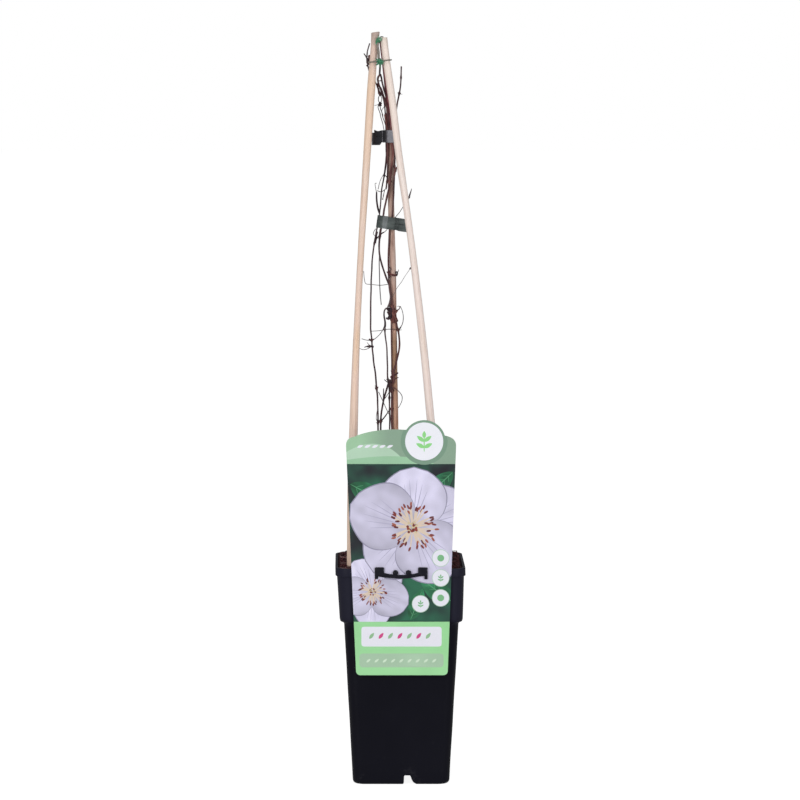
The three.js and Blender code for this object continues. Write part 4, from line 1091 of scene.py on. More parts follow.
def random_vector(rng, depth=1.0):
    return np.array([rng.uniform(-1, 1), rng.uniform(-depth, depth), rng.uniform(-1, 1)])


def bud(shape, base, direction, length, radius, red):
    """A pointed bud with a scale at its foot."""
    direction = unit(direction)
    places = np.array([0, 0.18, 0.4, 0.62, 0.82, 1.0])
    path = base + places[:, None] * length * direction
    tube(shape, path, radius * np.array([0.75, 1.0, 0.95, 0.72, 0.42, 0.12]), 7, red=red)


def curl(shape, base, direction, length, turn, radius, rng, dry):
    """A leaf stalk that has dried and curled."""
    axis = unit(random_vector(rng))
    direction = unit(direction)
    path = [base]
    count = max(5, round(length / 0.8))
    for i in range(count):
        angle = turn / count * (0.4 + 1.2 * i / count)
        direction = unit(direction + angle * np.cross(axis, direction))
        path.append(path[-1] + direction * length / count)
    path = off_the_canes(np.array(path), radius)
    tube(shape, path, np.linspace(radius, 0.5 * radius, len(path)), 6, dry=dry)


def stem(shape, piece, number, rng):
    foot, tip = piece["radius"]
    seed = number * 1.7 + foot * 10
    path = vine_path(piece, seed)
    share = np.linspace(0, 1, len(path))
    sides = 10 if foot > 0.6 else 7
    radii = (foot + (tip - foot) * share)[:, None] * np.ones(sides)
    twist = 0.05 * np.arange(len(path))[:, None]
    radii *= 1 + RIDGE_DEPTH * np.cos(BARK_RIDGES * angles_round(sides) + twist)
    radii *= 1 + 0.08 * wobble(path, 5, seed + 3)[:, None]
    red = np.interp(share, [0, 1], piece["red"])
    dry = np.interp(share, [0, 1], piece["dry"])
    tangents = unit(np.gradient(path, axis=0))
    for z in piece["nodes"]:
        at = int(np.argmin(np.abs(path[:, 2] - z)))
        near = bell((np.arange(len(path)) - at) * VINE_STEP, 0, JOINT_LENGTH)
        radii *= (1 + JOINT_SWELL * near)[:, None]
        red = np.maximum(red, 0.4 * near)
        grow_buds(shape, path[at], tangents[at], radii[at].mean(), rng)
    tube(shape, path, radii, sides, grain_start=200 * number, red=red, dry=dry)


def grow_buds(shape, middle, tangent, radius, rng):
    """A pair of buds on opposite sides of a joint, and often what is left of a leaf stalk."""
    upward = tangent if tangent[2] > 0 else -tangent
    turn = rng.uniform(0, math.pi)
    side = unit(np.cross(upward, [math.cos(turn), math.sin(turn), 0.2]))
    for sign in (1, -1):
        base = middle + sign * side * radius * 0.6
        direction = sign * side * 0.75 + upward
        bud(shape, base, direction, rng.uniform(1.1, 2.0), radius * 0.55, rng.uniform(0.1, 0.5))
        if rng.random() < CURL_SHARE:
            curl(shape, base, sign * side - 0.2 * upward, rng.uniform(1.5, 3.5), rng.uniform(-4, 4),
                 radius * 0.25, rng, rng.uniform(0.1, 0.5))


def dead_leaf(shape, middle, length, width, rng):
    """A dry leaf, rolled up and crumpled."""
    rows, columns = 13, 7
    along = unit(random_vector(rng, 0.6))
    across = unit(np.cross(along, [rng.uniform(-1, 1), 1.0, rng.uniform(-1, 1)]))
    out = np.cross(along, across)
    u = np.linspace(-0.5, 0.5, rows)[:, None]
    v = np.linspace(-1, 1, columns)[None, :]
    half = width / 2 * np.cos(math.pi * u) ** 0.6 + 0.12
    roll = rng.uniform(1.0, 2.2)
    x = half * np.sin(v * roll) / roll * 1.4
    y = half * (1 - np.cos(v * roll)) / roll * 1.4
    curve = rng.uniform(-0.8, 0.8) * length * u ** 2
    grid = middle + (u * length)[..., None] * along + x[..., None] * across + (y + curve)[..., None] * out
    crumple = wobble(grid.reshape(-1, 3), 1.7, rng.uniform(0, 50)).reshape(rows, columns)
    grid = grid + 0.5 * crumple[..., None] * out
    thick_sheet(shape, grid, 0.24, red=rng.uniform(0, 0.35), dry=rng.uniform(0, 0.25))


def make_vine(name, shoots, remains, seed, material):
    shape = Shape()
    rng = random.Random(seed)
    for number, piece in enumerate(shoots):
        stem(shape, piece, number, rng)
    for place, length, width, count in remains:
        for _ in range(count):
            middle = route_point(*place) + random_vector(rng, 0.5)
            dead_leaf(shape, middle, length * rng.uniform(0.7, 1.1), width, rng)
    shape.piece(name, material, 55)


# ---------------- loops round a bundle
BAND_SIDES = 120


def band_outline(circles, air):
    """The outline that a tight band takes round circles of (x, y, radius)."""
    circles = np.array(circles, float)
    middle = circles[:, :2].mean(axis=0)
    angles = angles_round(BAND_SIDES)
    normals = np.column_stack([np.cos(angles), np.sin(angles)])
    support = ((circles[:, :2] - middle) @ normals.T + circles[:, 2:]).max(axis=0) + air
    slope = (np.roll(support, -1) - np.roll(support, 1)) * BAND_SIDES / (4 * np.pi)
    tangents = np.column_stack([-normals[:, 1], normals[:, 0]])
    return middle + support[:, None] * normals + slope[:, None] * tangents


def circles_through(bound, heights):
    """The circles that canes and stems of (points, radius) make at each height."""
    return [(*point_at_height(points, z)[:2], radius) for points, radius in bound for z in heights]


# ---------------- binding tapes
# The two loose ends stand out to one side (-1 left, 1 right). Each has its length and how far it
# rises. The strip also passes round the bulge's circles, its ends' top edges dip, and their lower
# edges have a nick where they meet.
UPPER_TAPE = {
    "z": 649.0, "height": 12.6, "tilt": 0.0, "side": -1, "tail_y": 8.2,
    "ends": [(9.0, 0.7), (11.4, -2.4)], "dip": 1.6, "nick": 1.2,
    "bulge": [(-6.0, 4.4, 1.0), (-12.6, 6.05, 1.0), (-14.6, 6.85, 1.0), (-16.2, 8.0, 1.0)],
}
LOWER_TAPE = {
    "z": 561.5, "height": 12.4, "tilt": 0.14, "side": 1, "tail_y": 18.5,
    "ends": [(10.5, 0.0), (11.2, -0.8)], "dip": 0.0, "nick": 0.0,
    "bulge": [(-17.6, 10.9, 0.6), (-13.0, 9.6, 0.6), (-5.0, 9.7, 0.6)],
}
TAPE_FILM = 0.34
TAPE_END_BEND = 0.014
TAPE_RIPPLE = 0.12
# How far from the loose ends' root the loop is open, the rise takes, and the dip and nick lie.
TAPE_MOUTH = 1.1
TAPE_RISE_RUN = 3.5
TAPE_DIP_SPOT = (5.0, 3.0)
TAPE_NICK_SPOT = (1.2, 0.9)
STAPLE_WIRE = 0.6
STAPLE_WIDTH = 6.0
STAPLE_INSET = 1.4


def turned(points, tape, way):
    """Turns points about the place where the tape crosses the rear cane, by its tilt or back."""
    points = np.array(points, float)
    pivot_x = point_at_height(REAR_CANE, tape["z"])[0]
    dx, dz = points[..., 0] - pivot_x, points[..., 2] - tape["z"]
    c, s = math.cos(tape["tilt"]), way * math.sin(tape["tilt"])
    points[..., 0] = pivot_x + dx * c + dz * s
    points[..., 2] = tape["z"] - dx * s + dz * c
    return points


def tape_circles(tape):
    bound = [(REAR_CANE, REAR_CANE_RADIUS)]
    for piece in (OUTER_VINE[0], SPIRAL_VINE[0], SPIRAL_VINE[1]):
        bound.append((vine_controls(piece), piece["radius"][0]))
    bound = [(turned(points, tape, -1), radius) for points, radius in bound]
    half = tape["height"] / 2
    return circles_through(bound, [tape["z"] - half, tape["z"], tape["z"] + half]) + tape["bulge"]


def tape_line(tape):
    """The strip's middle line in plan: one loose end, round the bundle, then the other loose end."""
    side = tape["side"]
    ring = band_outline(tape_circles(tape), TAPE_THICKNESS / 2 + 0.1)
    edge = ring[:, 0].max() if side > 0 else ring[:, 0].min()
    start = int(np.argmin(np.abs(ring[:, 0] - edge) + 0.2 * np.abs(ring[:, 1] - tape["tail_y"])))
    ring = np.roll(ring, -start, axis=0)
    if ring[BAND_SIDES // 4, 1] > ring[3 * BAND_SIDES // 4, 1]:
        ring = ring[::-1]
    open_ring = ring[np.abs(ring[:, 0] - edge) > TAPE_MOUTH]
    (front_length, _), (back_length, _) = tape["ends"]
    gap = TAPE_THICKNESS / 2 + 0.03
    y = tape["tail_y"]
    front = [(edge + side * out, y - gap) for out in (front_length, front_length / 2, 1.2, 0.3)]
    back = [(edge + side * out, y + gap) for out in (0.3, 1.2, back_length / 2, back_length)]
    line = evenly(flattened(np.array([*front, *open_ring, *back])), 0.5)
    line[1:-1] = (line[:-2] + line[1:-1] + line[2:]) / 3
    line[:, 1] += TAPE_END_BEND * np.clip(side * (line[:, 0] - edge) - 4, 0, None) ** 2
    return line, edge


def make_tape(name, tape, material):
    line, edge = tape_line(tape)
    columns = 9
    up = np.linspace(-0.5, 0.5, columns)
    count = len(line)
    share = np.linspace(0, 1, count)
    out = np.clip(tape["side"] * (line[:, 0] - edge), 0, None)
    (_, front_rise), (_, back_rise) = tape["ends"]
    rise = np.where(share < 0.5, front_rise, back_rise) * np.clip(out / TAPE_RISE_RUN, 0, 1)
    sag = tape["dip"] * bell(out, *TAPE_DIP_SPOT) * (out > 0)
    nick = tape["nick"] * bell(out, *TAPE_NICK_SPOT)
    grid = np.zeros((count, columns, 3))
    grid[..., :2] = line[:, None, :2]
    grid[..., 2] = tape["z"] + rise[:, None] + up * tape["height"]
    grid[..., 2] -= sag[:, None] * (up > 0) * (up * 2) ** 2
    grid[..., 2] += nick[:, None] * (up < 0) * (up * 2) ** 4
    ripple = TAPE_RIPPLE * wobble(grid.reshape(-1, 3), 4.5, tape["z"]).reshape(count, columns)
    ripple *= out[:, None] < 0.2
    grid += sheet_normals(grid) * ripple[..., None]
    thick_sheet(Shape(), turned(grid, tape, 1), TAPE_FILM).piece(name, material, 45)


def make_staple(name, tape, material):
    _, edge = tape_line(tape)
    radius = STAPLE_WIRE / 2
    middle = edge + tape["side"] * (STAPLE_INSET - TAPE_THICKNESS / 2 + STAPLE_WIDTH / 2)
    front = tape["tail_y"] - TAPE_THICKNESS - radius
    back = tape["tail_y"] + TAPE_THICKNESS + radius
    leg = [(2.2, back + 0.15), (0.4, back + 0.1), (0, back - 0.3), (0, front + 0.4), (0.4, front)]
    left = [(middle - STAPLE_WIDTH / 2 + inward, y, tape["z"]) for inward, y in leg]
    right = [(middle + STAPLE_WIDTH / 2 - inward, y, tape["z"]) for inward, y in reversed(leg)]
    wire = turned(smooth_curve(left + right, 0.25), tape, 1)
    tube(Shape(), wire, radius, 10).piece(name, material, 50)


# ---------------- wire ties
TOP_KNOT = (-22.2, -7.7, 744.8)
# The top tie's wire hooks over the right cane's top, then comes back between the two pale canes.
TOP_TIE_HOOK = [
    (-22, -8, 745.3), (-21.3, -8.2, 746.8), (-20.4, -7.2, 748), (-19.4, -5.6, 748.5), (-18.4, -3.4, 748.5),
    (-17.6, -1.4, 748.4), (-17.2, 0.8, 747.5), (-17.6, 1.8, 746), (-19.2, 1.6, 745), (-20.6, 0.2, 744.2),
    (-21.3, -2, 743.7), (-21.5, -4.8, 743.6), (-21.8, -7.7, 744),
]
TOP_TIE_TAIL = [(-22.2, -7.7, 744.8), (-22.8, -8.3, 738.6), (-22, -8.6, 733.6), (-21.8, -9.4, 726.9)]
SECOND_TIE = {"x": -20.6, "z": 724.3, "tilt": -0.105}
KNOT_STRIPS = 9
TIE_STRIP_THICKNESS = 0.5


def tie_loop(shape, circles, tie):
    outline = band_outline(circles, 0.2 + TIE_WIRE_RADIUS)
    line = evenly(flattened(np.vstack([outline, outline[:1]])), 0.5)[:-1]
    line[:, 2] = tie["z"] - math.tan(tie["tilt"]) * (line[:, 0] - tie["x"])
    line[:, 2] += 0.2 * wobble(line, 6, tie["z"])
    tube(shape, line, TIE_WIRE_RADIUS, 8, closed=True, dry=0.95)
    return line[:, 1].min()


def ribbon(shape, path, width, twist, dry, tone=0.0):
    """A flat strip whose width turns about its path by twist in all."""
    path = smooth_curve(path, 0.35)
    _, across, beside = carried_frames(path)
    share = np.linspace(0, 1, len(path))
    angle = twist * share
    direction = np.cos(angle)[:, None] * across + np.sin(angle)[:, None] * beside
    half = width / 2 * (1 - 0.5 * share ** 3)
    places = np.linspace(-1, 1, 4)
    grid = path[:, None] + (half[:, None] * places)[..., None] * direction[:, None]
    thick_sheet(shape, grid, TIE_STRIP_THICKNESS, dry=dry, tone=tone)


def tie_knot(shape, centre, radii, arms, rng):
    """Strips twisted together over each other, with ends (dx, dz, out, width, paleness) standing out."""
    x, y, z = centre
    rx, ry, rz = radii
    for i in range(KNOT_STRIPS):
        turn = math.pi * i / KNOT_STRIPS + rng.uniform(-0.2, 0.2)
        c, s = math.cos(turn), math.sin(turn)
        bulge = rng.uniform(0.8, 1.1)
        wrap = [(x + k * rx * c, y - out * ry, z + k * rz * s)
                for k, out in ((1, -0.6), (0.6, 0.7), (0, bulge), (-0.6, 0.7), (-1, -0.6))]
        ribbon(shape, wrap, rng.uniform(1.3, 2.0), rng.uniform(-1.2, 1.2), rng.uniform(0, 0.12))
    for dx, dz, out, width, tone in arms:
        middle = (x + 0.5 * dx + rng.uniform(-0.3, 0.3), y - 0.9, z + 0.5 * dz)
        ribbon(shape, [(x, y, z), middle, (x + dx, y - out, z + dz)], width, rng.uniform(0.6, 2.0),
               rng.uniform(0, 0.15), tone)


def make_top_tie(material):
    shape = Shape()
    arms = [(0.4, 4.4, 0.5, 2.0, 0.7), (3.6, 2.2, 0.3, 2.4, 0.9), (3.6, 0.6, 0.5, 2.0, 0.8),
            (2.2, 3.0, 0.7, 1.8, 0.8), (-2.6, -3.6, 0.8, 2.4, 0), (-2.9, -1.6, 0.9, 1.6, 0),
            (-1.4, 2.2, 0.9, 1.4, 0.3)]
    tie_knot(shape, TOP_KNOT, (2.2, 1.3, 2.8), arms, random.Random(3))
    tube(shape, smooth_curve(TOP_TIE_HOOK, 0.5), 0.8 * TIE_WIRE_RADIUS, 8, dry=0.85, tone=0.4)
    tail = smooth_curve(TOP_TIE_TAIL, 0.7)
    tube(shape, tail, 1.3 + 0.2 * wobble(tail, 3, 2)[:, None] * np.ones(8), 8, dry=1.0)
    shape.piece("top_tie", material, 50)


def make_second_tie(material):
    shape = Shape()
    x, z = SECOND_TIE["x"], SECOND_TIE["z"]
    circles = circles_through(CANES, [z - 0.7, z + 0.7])
    y = tie_loop(shape, circles, SECOND_TIE) - 0.6
    arms = [(-4.2, 3.2, 0.6, 1.8, 0), (-1.4, 3.4, 0.9, 1.8, 0.1), (3.9, 0.6, 0.4, 2.2, 0.2),
            (3.2, -2.0, 0.8, 1.8, 0), (0.2, -5.2, 0.7, 1.6, 0.3), (-3.6, -3.2, 0.8, 1.8, 0),
            (-3.4, 0.4, 0.8, 1.6, 0), (2.2, 2.6, 0.8, 1.6, 0.1)]
    tie_knot(shape, (x, y, z - 0.9), (3.1, 1.3, 2.9), arms, random.Random(8))
    shape.piece("second_tie", material, 50)


# ---------------- label clip
LABEL_BACK_Y = -RIM_HALF - GAP
LABEL_FRONT_Y = LABEL_BACK_Y - LABEL_THICKNESS
CLIP_THICKNESS = 1.6
CLIP_TONGUE = 1.2
CLIP_EDGE_RADIUS = 0.22
CLIP_BACK_Y = LABEL_FRONT_Y - GAP
CLIP_FRONT_Y = CLIP_BACK_Y - CLIP_THICKNESS
TONGUE_BOTTOM_Z = RIM_Z + GAP
TONGUE_TOP_Z = TONGUE_BOTTOM_Z + CLIP_TONGUE
TONGUES = [(-24.4, -17.4), (18.7, 25.7)]
HOOK_BACK_Y = -(COLLAR_TOP_HALF - WALL) + GAP + CLIP_TONGUE
HOOK_BOTTOM_Z = RIM_Z - LIP_DROP + 0.5
BUTTON_XS = (-5.0, 7.9)
BUTTON_Z = 217.4
BUTTON_RADIUS = 2.7
BUTTON_HEIGHT = 1.0


def clip_outline():
    top = TONGUE_TOP_Z
    outline = [(-25.6, 211.2), (-22.6, 211.2), *bowed((-22, 213.8), (0.6, 209.6), (17.5, 213.6))]
    outline += [(23.6, 214.4), (23.8, 211), (26.9, 211), (26.9, top), (17.5, top)]
    return outline + bowed((17.5, 217.2), (0.6, 213.2), (-16.3, 217.2)) + [(-16.3, top), (-25.6, top)]


def box_shape(low, high):
    (x0, y0, z0), (x1, y1, z1) = low, high
    return prism([(x0, z0), (x1, z0), (x1, z1), (x0, z1)], y0, y1)


def button_shape(x):
    """A round peg with a slightly domed head."""
    ys = [CLIP_BACK_Y - 0.4, *(CLIP_FRONT_Y - share * BUTTON_HEIGHT for share in (0.5, 0.85, 1.0))]
    radii = BUTTON_RADIUS * np.array([1.0, 1.0, 0.86, 0.5])
    return tube(Shape(), [(x, y, BUTTON_Z) for y in ys], radii, 28)


def make_clip(material):
    front = prism(clip_outline(), CLIP_FRONT_Y, CLIP_BACK_Y)
    others = [button_shape(x) for x in BUTTON_XS]
    for a, b in TONGUES:
        others += [
            box_shape((a, CLIP_FRONT_Y + 0.4, TONGUE_BOTTOM_Z), (b, HOOK_BACK_Y, TONGUE_TOP_Z - 0.02)),
            box_shape((a + 0.02, HOOK_BACK_Y - CLIP_TONGUE, HOOK_BOTTOM_Z),
                      (b - 0.02, HOOK_BACK_Y - 0.02, TONGUE_TOP_Z - 0.04)),
        ]
    clip = placed("look_label_clip", front.mesh("clip"))
    cut_or_join(clip, others, "UNION")
    bevel = clip.modifiers.new("bevel", "BEVEL")
    bevel.width = CLIP_EDGE_RADIUS * MM
    bevel.segments = 2
    bevel.limit_method = "ANGLE"
    bevel.angle_limit = math.radians(40)
    apply_modifiers(clip)
    finish(clip, "label_clip", material, 40)


# ---------------- label
LABEL_BOTTOM_Z = 114.0
LABEL_SHOULDER_Z = 344.0
LABEL_ARCH = (-14.0, 367.4)
LABEL_BOTTOM_SIDES = (-44.4, 47.2)
LABEL_TOP_SIDES = (-54.1, 55.2)
LABEL_CORNER = 5.0
BADGE = (23.5, 348.5, 21.2)
HEADER_Z = 326.0
FOOTER_Z = 168.0
WHITE = (240, 240, 250)


def label_outline():
    left, right = LABEL_BOTTOM_SIDES
    top_left, top_right = LABEL_TOP_SIDES
    low, corner = LABEL_BOTTOM_Z, LABEL_BOTTOM_Z + LABEL_CORNER
    left_end, right_end = (top_left + 7.6, LABEL_SHOULDER_Z + 9.0), (top_right - 9.4, LABEL_SHOULDER_Z + 9.9)
    outline = [(left + LABEL_CORNER, low)]
    outline += bowed((right - LABEL_CORNER, low), (right, low), (right, corner))
    outline += bowed((top_right, LABEL_SHOULDER_Z), (top_right + 0.2, LABEL_SHOULDER_Z + 7.6), right_end)
    outline += bowed(right_end, LABEL_ARCH, left_end, 24)[1:]
    outline += bowed(left_end, (top_left - 0.3, LABEL_SHOULDER_Z + 7.8), (top_left, LABEL_SHOULDER_Z))[1:]
    outline += bowed((left, corner), (left, low), (left + LABEL_CORNER, low))[:-1]
    return outline


def disc(x, z, radius, sides=48):
    turn = angles_round(sides)
    return list(zip(x + radius * np.cos(turn), z + radius * np.sin(turn)))


def rounded_box(x0, z0, x1, z1, corner):
    turns = [(x0, z0, 0, corner), (x1, z0, -corner, 0), (x1, z1, 0, -corner), (x0, z1, corner, 0)]
    outline = []
    for x, z, dx, dz in turns:
        outline += bowed((x + dx, z + dz), (x, z), (x + dz, z - dx), 5)
    return outline


def blade(x, z, angle, length, width, wave=0.0, blunt=0.5):
    """A leaf or petal outline from its foot at (x, z), pointed or blunt at its tip."""
    t = np.linspace(0, 1, 17)
    half = width / 2 * np.sin(math.pi * t ** 0.85) ** blunt * (1 + wave * np.sin(9 * t + angle))
    half[0] = 0.04 * width
    side = [(length * a, h) for a, h in zip(t, half)]
    outline = side + [(a, -h) for a, h in side[-2::-1]]
    c, s = math.cos(angle), math.sin(angle)
    return [(x + a * c - b * s, z + a * s + b * c) for a, b in outline]


def onward(x, z, angle, distance):
    return x + distance * math.cos(angle), z + distance * math.sin(angle)


def full_width(low, high):
    """A band right across the label, which is cut off at its edges."""
    wide = LABEL_TOP_SIDES[1] + 4
    return [(-wide, low), (wide, low), (wide, high), (-wide, high)]


def clamped(value, most=1.0):
    return min(most, max(0.0, value))


def tint_noise(x, z, size, seed):
    return noise.noise(Vector((x / size, z / size, seed)))


def flat_colour(colour, spread):
    """A printed tint that drifts a little lighter and darker."""
    def colour_at(x, z):
        drift = 1 + spread * tint_noise(x, z, 30, 4)
        return [c * drift for c in colour]
    return colour_at


def footer_colour(x, z):
    """Pale green."""
    share = clamped((z - LABEL_BOTTOM_Z) / (FOOTER_Z - LABEL_BOTTOM_Z))
    drift = 1 + 0.02 * tint_noise(x, z, 18, 2)
    return [(a + (b - a) * share) * drift for a, b in zip((166, 228, 166), (160, 226, 160))]


def petal_colour(x0, z0, angle, length, width, glow):
    """Pale lilac with soft ridges along the petal, duller towards its foot and its edges."""
    def colour_at(x, z):
        dx, dz = x - x0, z - z0
        along = (dx * math.cos(angle) + dz * math.sin(angle)) / length
        across = (-dx * math.sin(angle) + dz * math.cos(angle)) / width
        ridge = 0.035 * math.cos(26 * across + 3 * along) * math.exp(-3 * abs(across))
        shadow = 0.16 * math.exp(-7 * along) + 0.12 * (2 * abs(across)) ** 4
        light = glow + ridge - shadow + 0.05 * tint_noise(x, z, 9, 8)
        return [222 * light, 218 * light, 243 * light]
    return colour_at


def leaf_colour(x0, z0, angle, length):
    def colour_at(x, z):
        along = ((x - x0) * math.cos(angle) + (z - z0) * math.sin(angle)) / length
        light = 0.75 + 0.4 * along + 0.3 * tint_noise(x, z, 7, 1)
        return [44 * light, 118 * light, 80 * light]
    return colour_at


def shade_colour(x, z):
    """The dim garden behind the blossoms."""
    share = clamped(0.5 + 0.9 * tint_noise(x, z, 26, 3) + 0.3 * tint_noise(x, z, 9, 5))
    return [28 + 14 * share, 30 + 78 * share, 38 + 42 * share]


def header_colour(x, _):
    """Grey green, fresher towards the left."""
    share = clamped((-12 - x) / 28)
    return [a + (b - a) * share for a, b in zip((142, 170, 148), (164, 205, 168))]


def draw(art, outline, tint, spread=0.0):
    """Adds a printed shape. Its tint is a function of the place, or one colour that drifts by spread."""
    art.append((outline, tint if callable(tint) else flat_colour(tint, spread)))


def leaf(art, x, z, angle, length, width):
    draw(art, blade(x, z, angle, length, width, 0.03, 0.8), leaf_colour(x, z, angle, length))
    draw(art, blade(x, z, angle, length * 0.92, width * 0.05, blunt=0.6), (90, 165, 118))
    for i in range(1, 6):
        foot = onward(x, z, angle, length * 0.14 * i)
        for turn in (0.75, -0.75):
            vein = blade(*foot, angle + turn, width * (0.42 - 0.03 * i), width * 0.03, blunt=0.6)
            draw(art, vein, (76, 150, 104))


def blossom(art, x, z, radius, petals, turn, rng):
    """An open flower with broad petals and a boss of short threads."""
    for i in sorted(range(petals), key=lambda i: (i * 2) % petals):
        angle = turn + 2 * math.pi * i / petals + rng.uniform(-0.06, 0.06)
        length = radius * rng.uniform(0.94, 1.04)
        width = radius * 5.2 / petals
        petal = petal_colour(x, z, angle, length, width, rng.uniform(0.93, 1.04))
        draw(art, blade(x, z, angle, length, width * 1.03, 0.02), (150, 147, 172))
        draw(art, blade(x, z, angle, length * 0.985, width, 0.02), petal)
        for shift in (-0.36, -0.2, -0.07, 0.09, 0.22, 0.37):
            reach = length * (0.84 - abs(shift) * 0.5)
            draw(art, blade(x, z, angle + shift, reach, width * 0.012, 0.1), (182, 178, 206))
    stamens(art, x, z, radius, rng)


STAMENS = 54
BOSS_DOTS = 26


def stamens(art, x, z, radius, rng):
    for i in range(STAMENS):
        angle = 2 * math.pi * i / STAMENS + rng.uniform(-0.1, 0.1)
        start, reach = radius * rng.uniform(0.04, 0.1), radius * rng.uniform(0.17, 0.3)
        foot = onward(x, z, angle, start)
        bend = angle + rng.uniform(-0.35, 0.35)
        draw(art, blade(*foot, bend, reach, radius * 0.022, blunt=0.4), (226, 206, 186))
        tip = onward(*foot, bend, reach * 0.86)
        tint = rng.choice([(132, 62, 58), (104, 48, 52), (168, 96, 78)])
        bend += rng.uniform(-0.5, 0.5)
        draw(art, blade(*tip, bend, radius * 0.075, radius * 0.032, blunt=0.4), tint)
    for i in range(BOSS_DOTS):
        angle, reach = rng.uniform(0, 2 * math.pi), radius * 0.1 * math.sqrt(rng.random())
        tint = rng.choice([(120, 46, 44), (150, 70, 58), (214, 196, 160)])
        draw(art, disc(*onward(x, z, angle, reach), radius * 0.022, 7), tint)


def sprig(art, x, z, size, tint):
    """A stalk with two pairs of small leaves."""
    draw(art, blade(x, z - size, math.pi / 2, 2 * size, 0.12 * size, blunt=0.3), tint)
    for lift, turn in ((-0.55, 0.5), (-0.55, math.pi - 0.5), (0.1, 0.65), (0.1, math.pi - 0.65)):
        draw(art, blade(x, z + lift * size, turn, 0.95 * size, 0.42 * size, blunt=0.8), tint)
    draw(art, blade(x, z + 0.45 * size, math.pi / 2, 0.75 * size, 0.4 * size, blunt=0.8), tint)


def leaf_row(art, count, x, z, step, angle, length, width, *tints):
    """Leaf marks in a row, with the tints in turn."""
    for i in range(count):
        draw(art, blade(x + step * i, z, angle, length, width, blunt=0.8), tints[i % len(tints)])


SHADE_LEAVES = [(-50, 306, -0.5, 46, 20), (52, 318, 3.9, 40, 17), (54, 186, 2.5, 44, 20),
                (-52, 196, 0.7, 40, 19), (10, 170, 1.2, 34, 15)]
ROUND_SIGNS = [(40, 232), (40, 212), (40, 192), (20, 186)]
SIGN_GREEN = (128, 190, 138)


def label_art():
    """The generic print, from the lowest layer up, as (outline, colour at a place) pairs."""
    rng = random.Random(5)
    art = []
    draw(art, full_width(FOOTER_Z, HEADER_Z), shade_colour)
    for place in SHADE_LEAVES:
        leaf(art, *place)
    blossom(art, -28, 198, 37, 5, 0.9, rng)
    blossom(art, 12, 263, 64, 5, 0.28, rng)
    draw(art, full_width(HEADER_Z, 380), header_colour)
    draw(art, bowed((-60, 334), (-20, 362), (6, HEADER_Z), 16) + [(-60, HEADER_Z)], (186, 218, 192), 0.05)
    draw(art, bowed((-60, 329), (4, 340), (34, HEADER_Z), 16) + [(-60, HEADER_Z)], (160, 205, 168), 0.05)
    leaf_row(art, 5, -43, 342.5, 7.4, 0.35, 6.4, 2.6, WHITE)
    draw(art, full_width(100, FOOTER_Z), footer_colour)
    draw(art, rounded_box(-39, 143, 41, 163, 3), WHITE)
    leaf_row(art, 7, -31, 151, 9.4, 0.9, 7.5, 3.2, (150, 196, 150), (214, 72, 138))
    draw(art, rounded_box(-41, 122, 43, 136, 4), (176, 208, 178), 0.05)
    leaf_row(art, 9, -34, 127, 8.2, 0.7, 5.5, 2.2, (214, 236, 212))
    for i, (x, z) in enumerate(ROUND_SIGNS):
        draw(art, disc(x, z, 8.7), (186, 214, 196))
        draw(art, disc(x, z, 8.1), WHITE)
        if i % 2:
            sprig(art, x, z - 0.6, 3.6, SIGN_GREEN)
        else:
            draw(art, disc(x, z, 3.4), SIGN_GREEN)
    x, z, radius = BADGE
    draw(art, disc(x, z, radius + 2, 90), (126, 158, 136), 0.05)
    draw(art, disc(x, z, 18.9, 80), (246, 247, 255))
    sprig(art, x, z - 1.0, 9.5, (148, 222, 140))
    return art


# The card hangs straight between these heights, and leans back above and below them.
CARD_STRAIGHT = (205, 232)


def label_bow(x, z):
    """How far the hanging card leans back."""
    above = max(0.0, z - CARD_STRAIGHT[1]) / 130
    below = max(0.0, CARD_STRAIGHT[0] - z) / 90
    return 0.9 * above ** 2 + 1.2 * below ** 2 + 0.35 * (abs(x) / 50) ** 3 * min(1, above + below)


LABEL_GRID = 2.2


def make_label(material):
    outline, badge = label_outline(), disc(*BADGE, 90)
    low, high = TONGUE_BOTTOM_Z - GAP, TONGUE_TOP_Z + GAP
    slots = [rounded_box(a - GAP, low, b + GAP, high, 0.3) for a, b in TONGUES]
    art = label_art()
    places, edges = [], []
    for polygon in (outline, badge, *slots, *[points for points, _ in art]):
        first, count = len(places), len(polygon)
        places += [Vector(p) for p in polygon]
        edges += [(first + i, first + (i + 1) % count) for i in range(count)]
    for x in np.arange(-54, 56, LABEL_GRID):
        places += [Vector((x, z)) for z in np.arange(115, 370, LABEL_GRID)]
    points, _, triangles, _, _, _ = delaunay_2d_cdt(places, edges, [], 0, 1e-4, False)
    triangles = np.array(triangles)
    middles = np.array(points)[triangles].mean(axis=1)
    card = topmost([outline, badge], middles) >= 0
    card &= topmost(slots, middles) < 0
    kept = triangles[card]
    tops = topmost([points for points, _ in art], middles[card])
    colours = []
    for triangle, top in zip(kept, tops):
        colours += [rgb(*[clamped(c, 255) for c in art[top][1](*points[i])]) for i in triangle]
    build_card(points, [tuple(int(i) for i in triangle) for triangle in kept], colours, material)


def topmost(polygons, places):
    """For each place, the number of the last polygon that covers it, or -1."""
    top = np.full(len(places), -1)
    for number, polygon in enumerate(polygons):
        polygon = np.array(polygon, float)
        within = (places >= polygon.min(axis=0)) & (places <= polygon.max(axis=0))
        near = np.flatnonzero(within.all(axis=1))
        x, z = places[near, 0][:, None], places[near, 1][:, None]
        (ax, az), (bx, bz) = polygon.T, np.roll(polygon, -1, axis=0).T
        spans = (az > z) != (bz > z)
        rise = np.where(bz == az, 1.0, bz - az)
        crossings = spans & (x < ax + (z - az) * (bx - ax) / rise)
        top[near[crossings.sum(axis=1) % 2 == 1]] = number
    return top


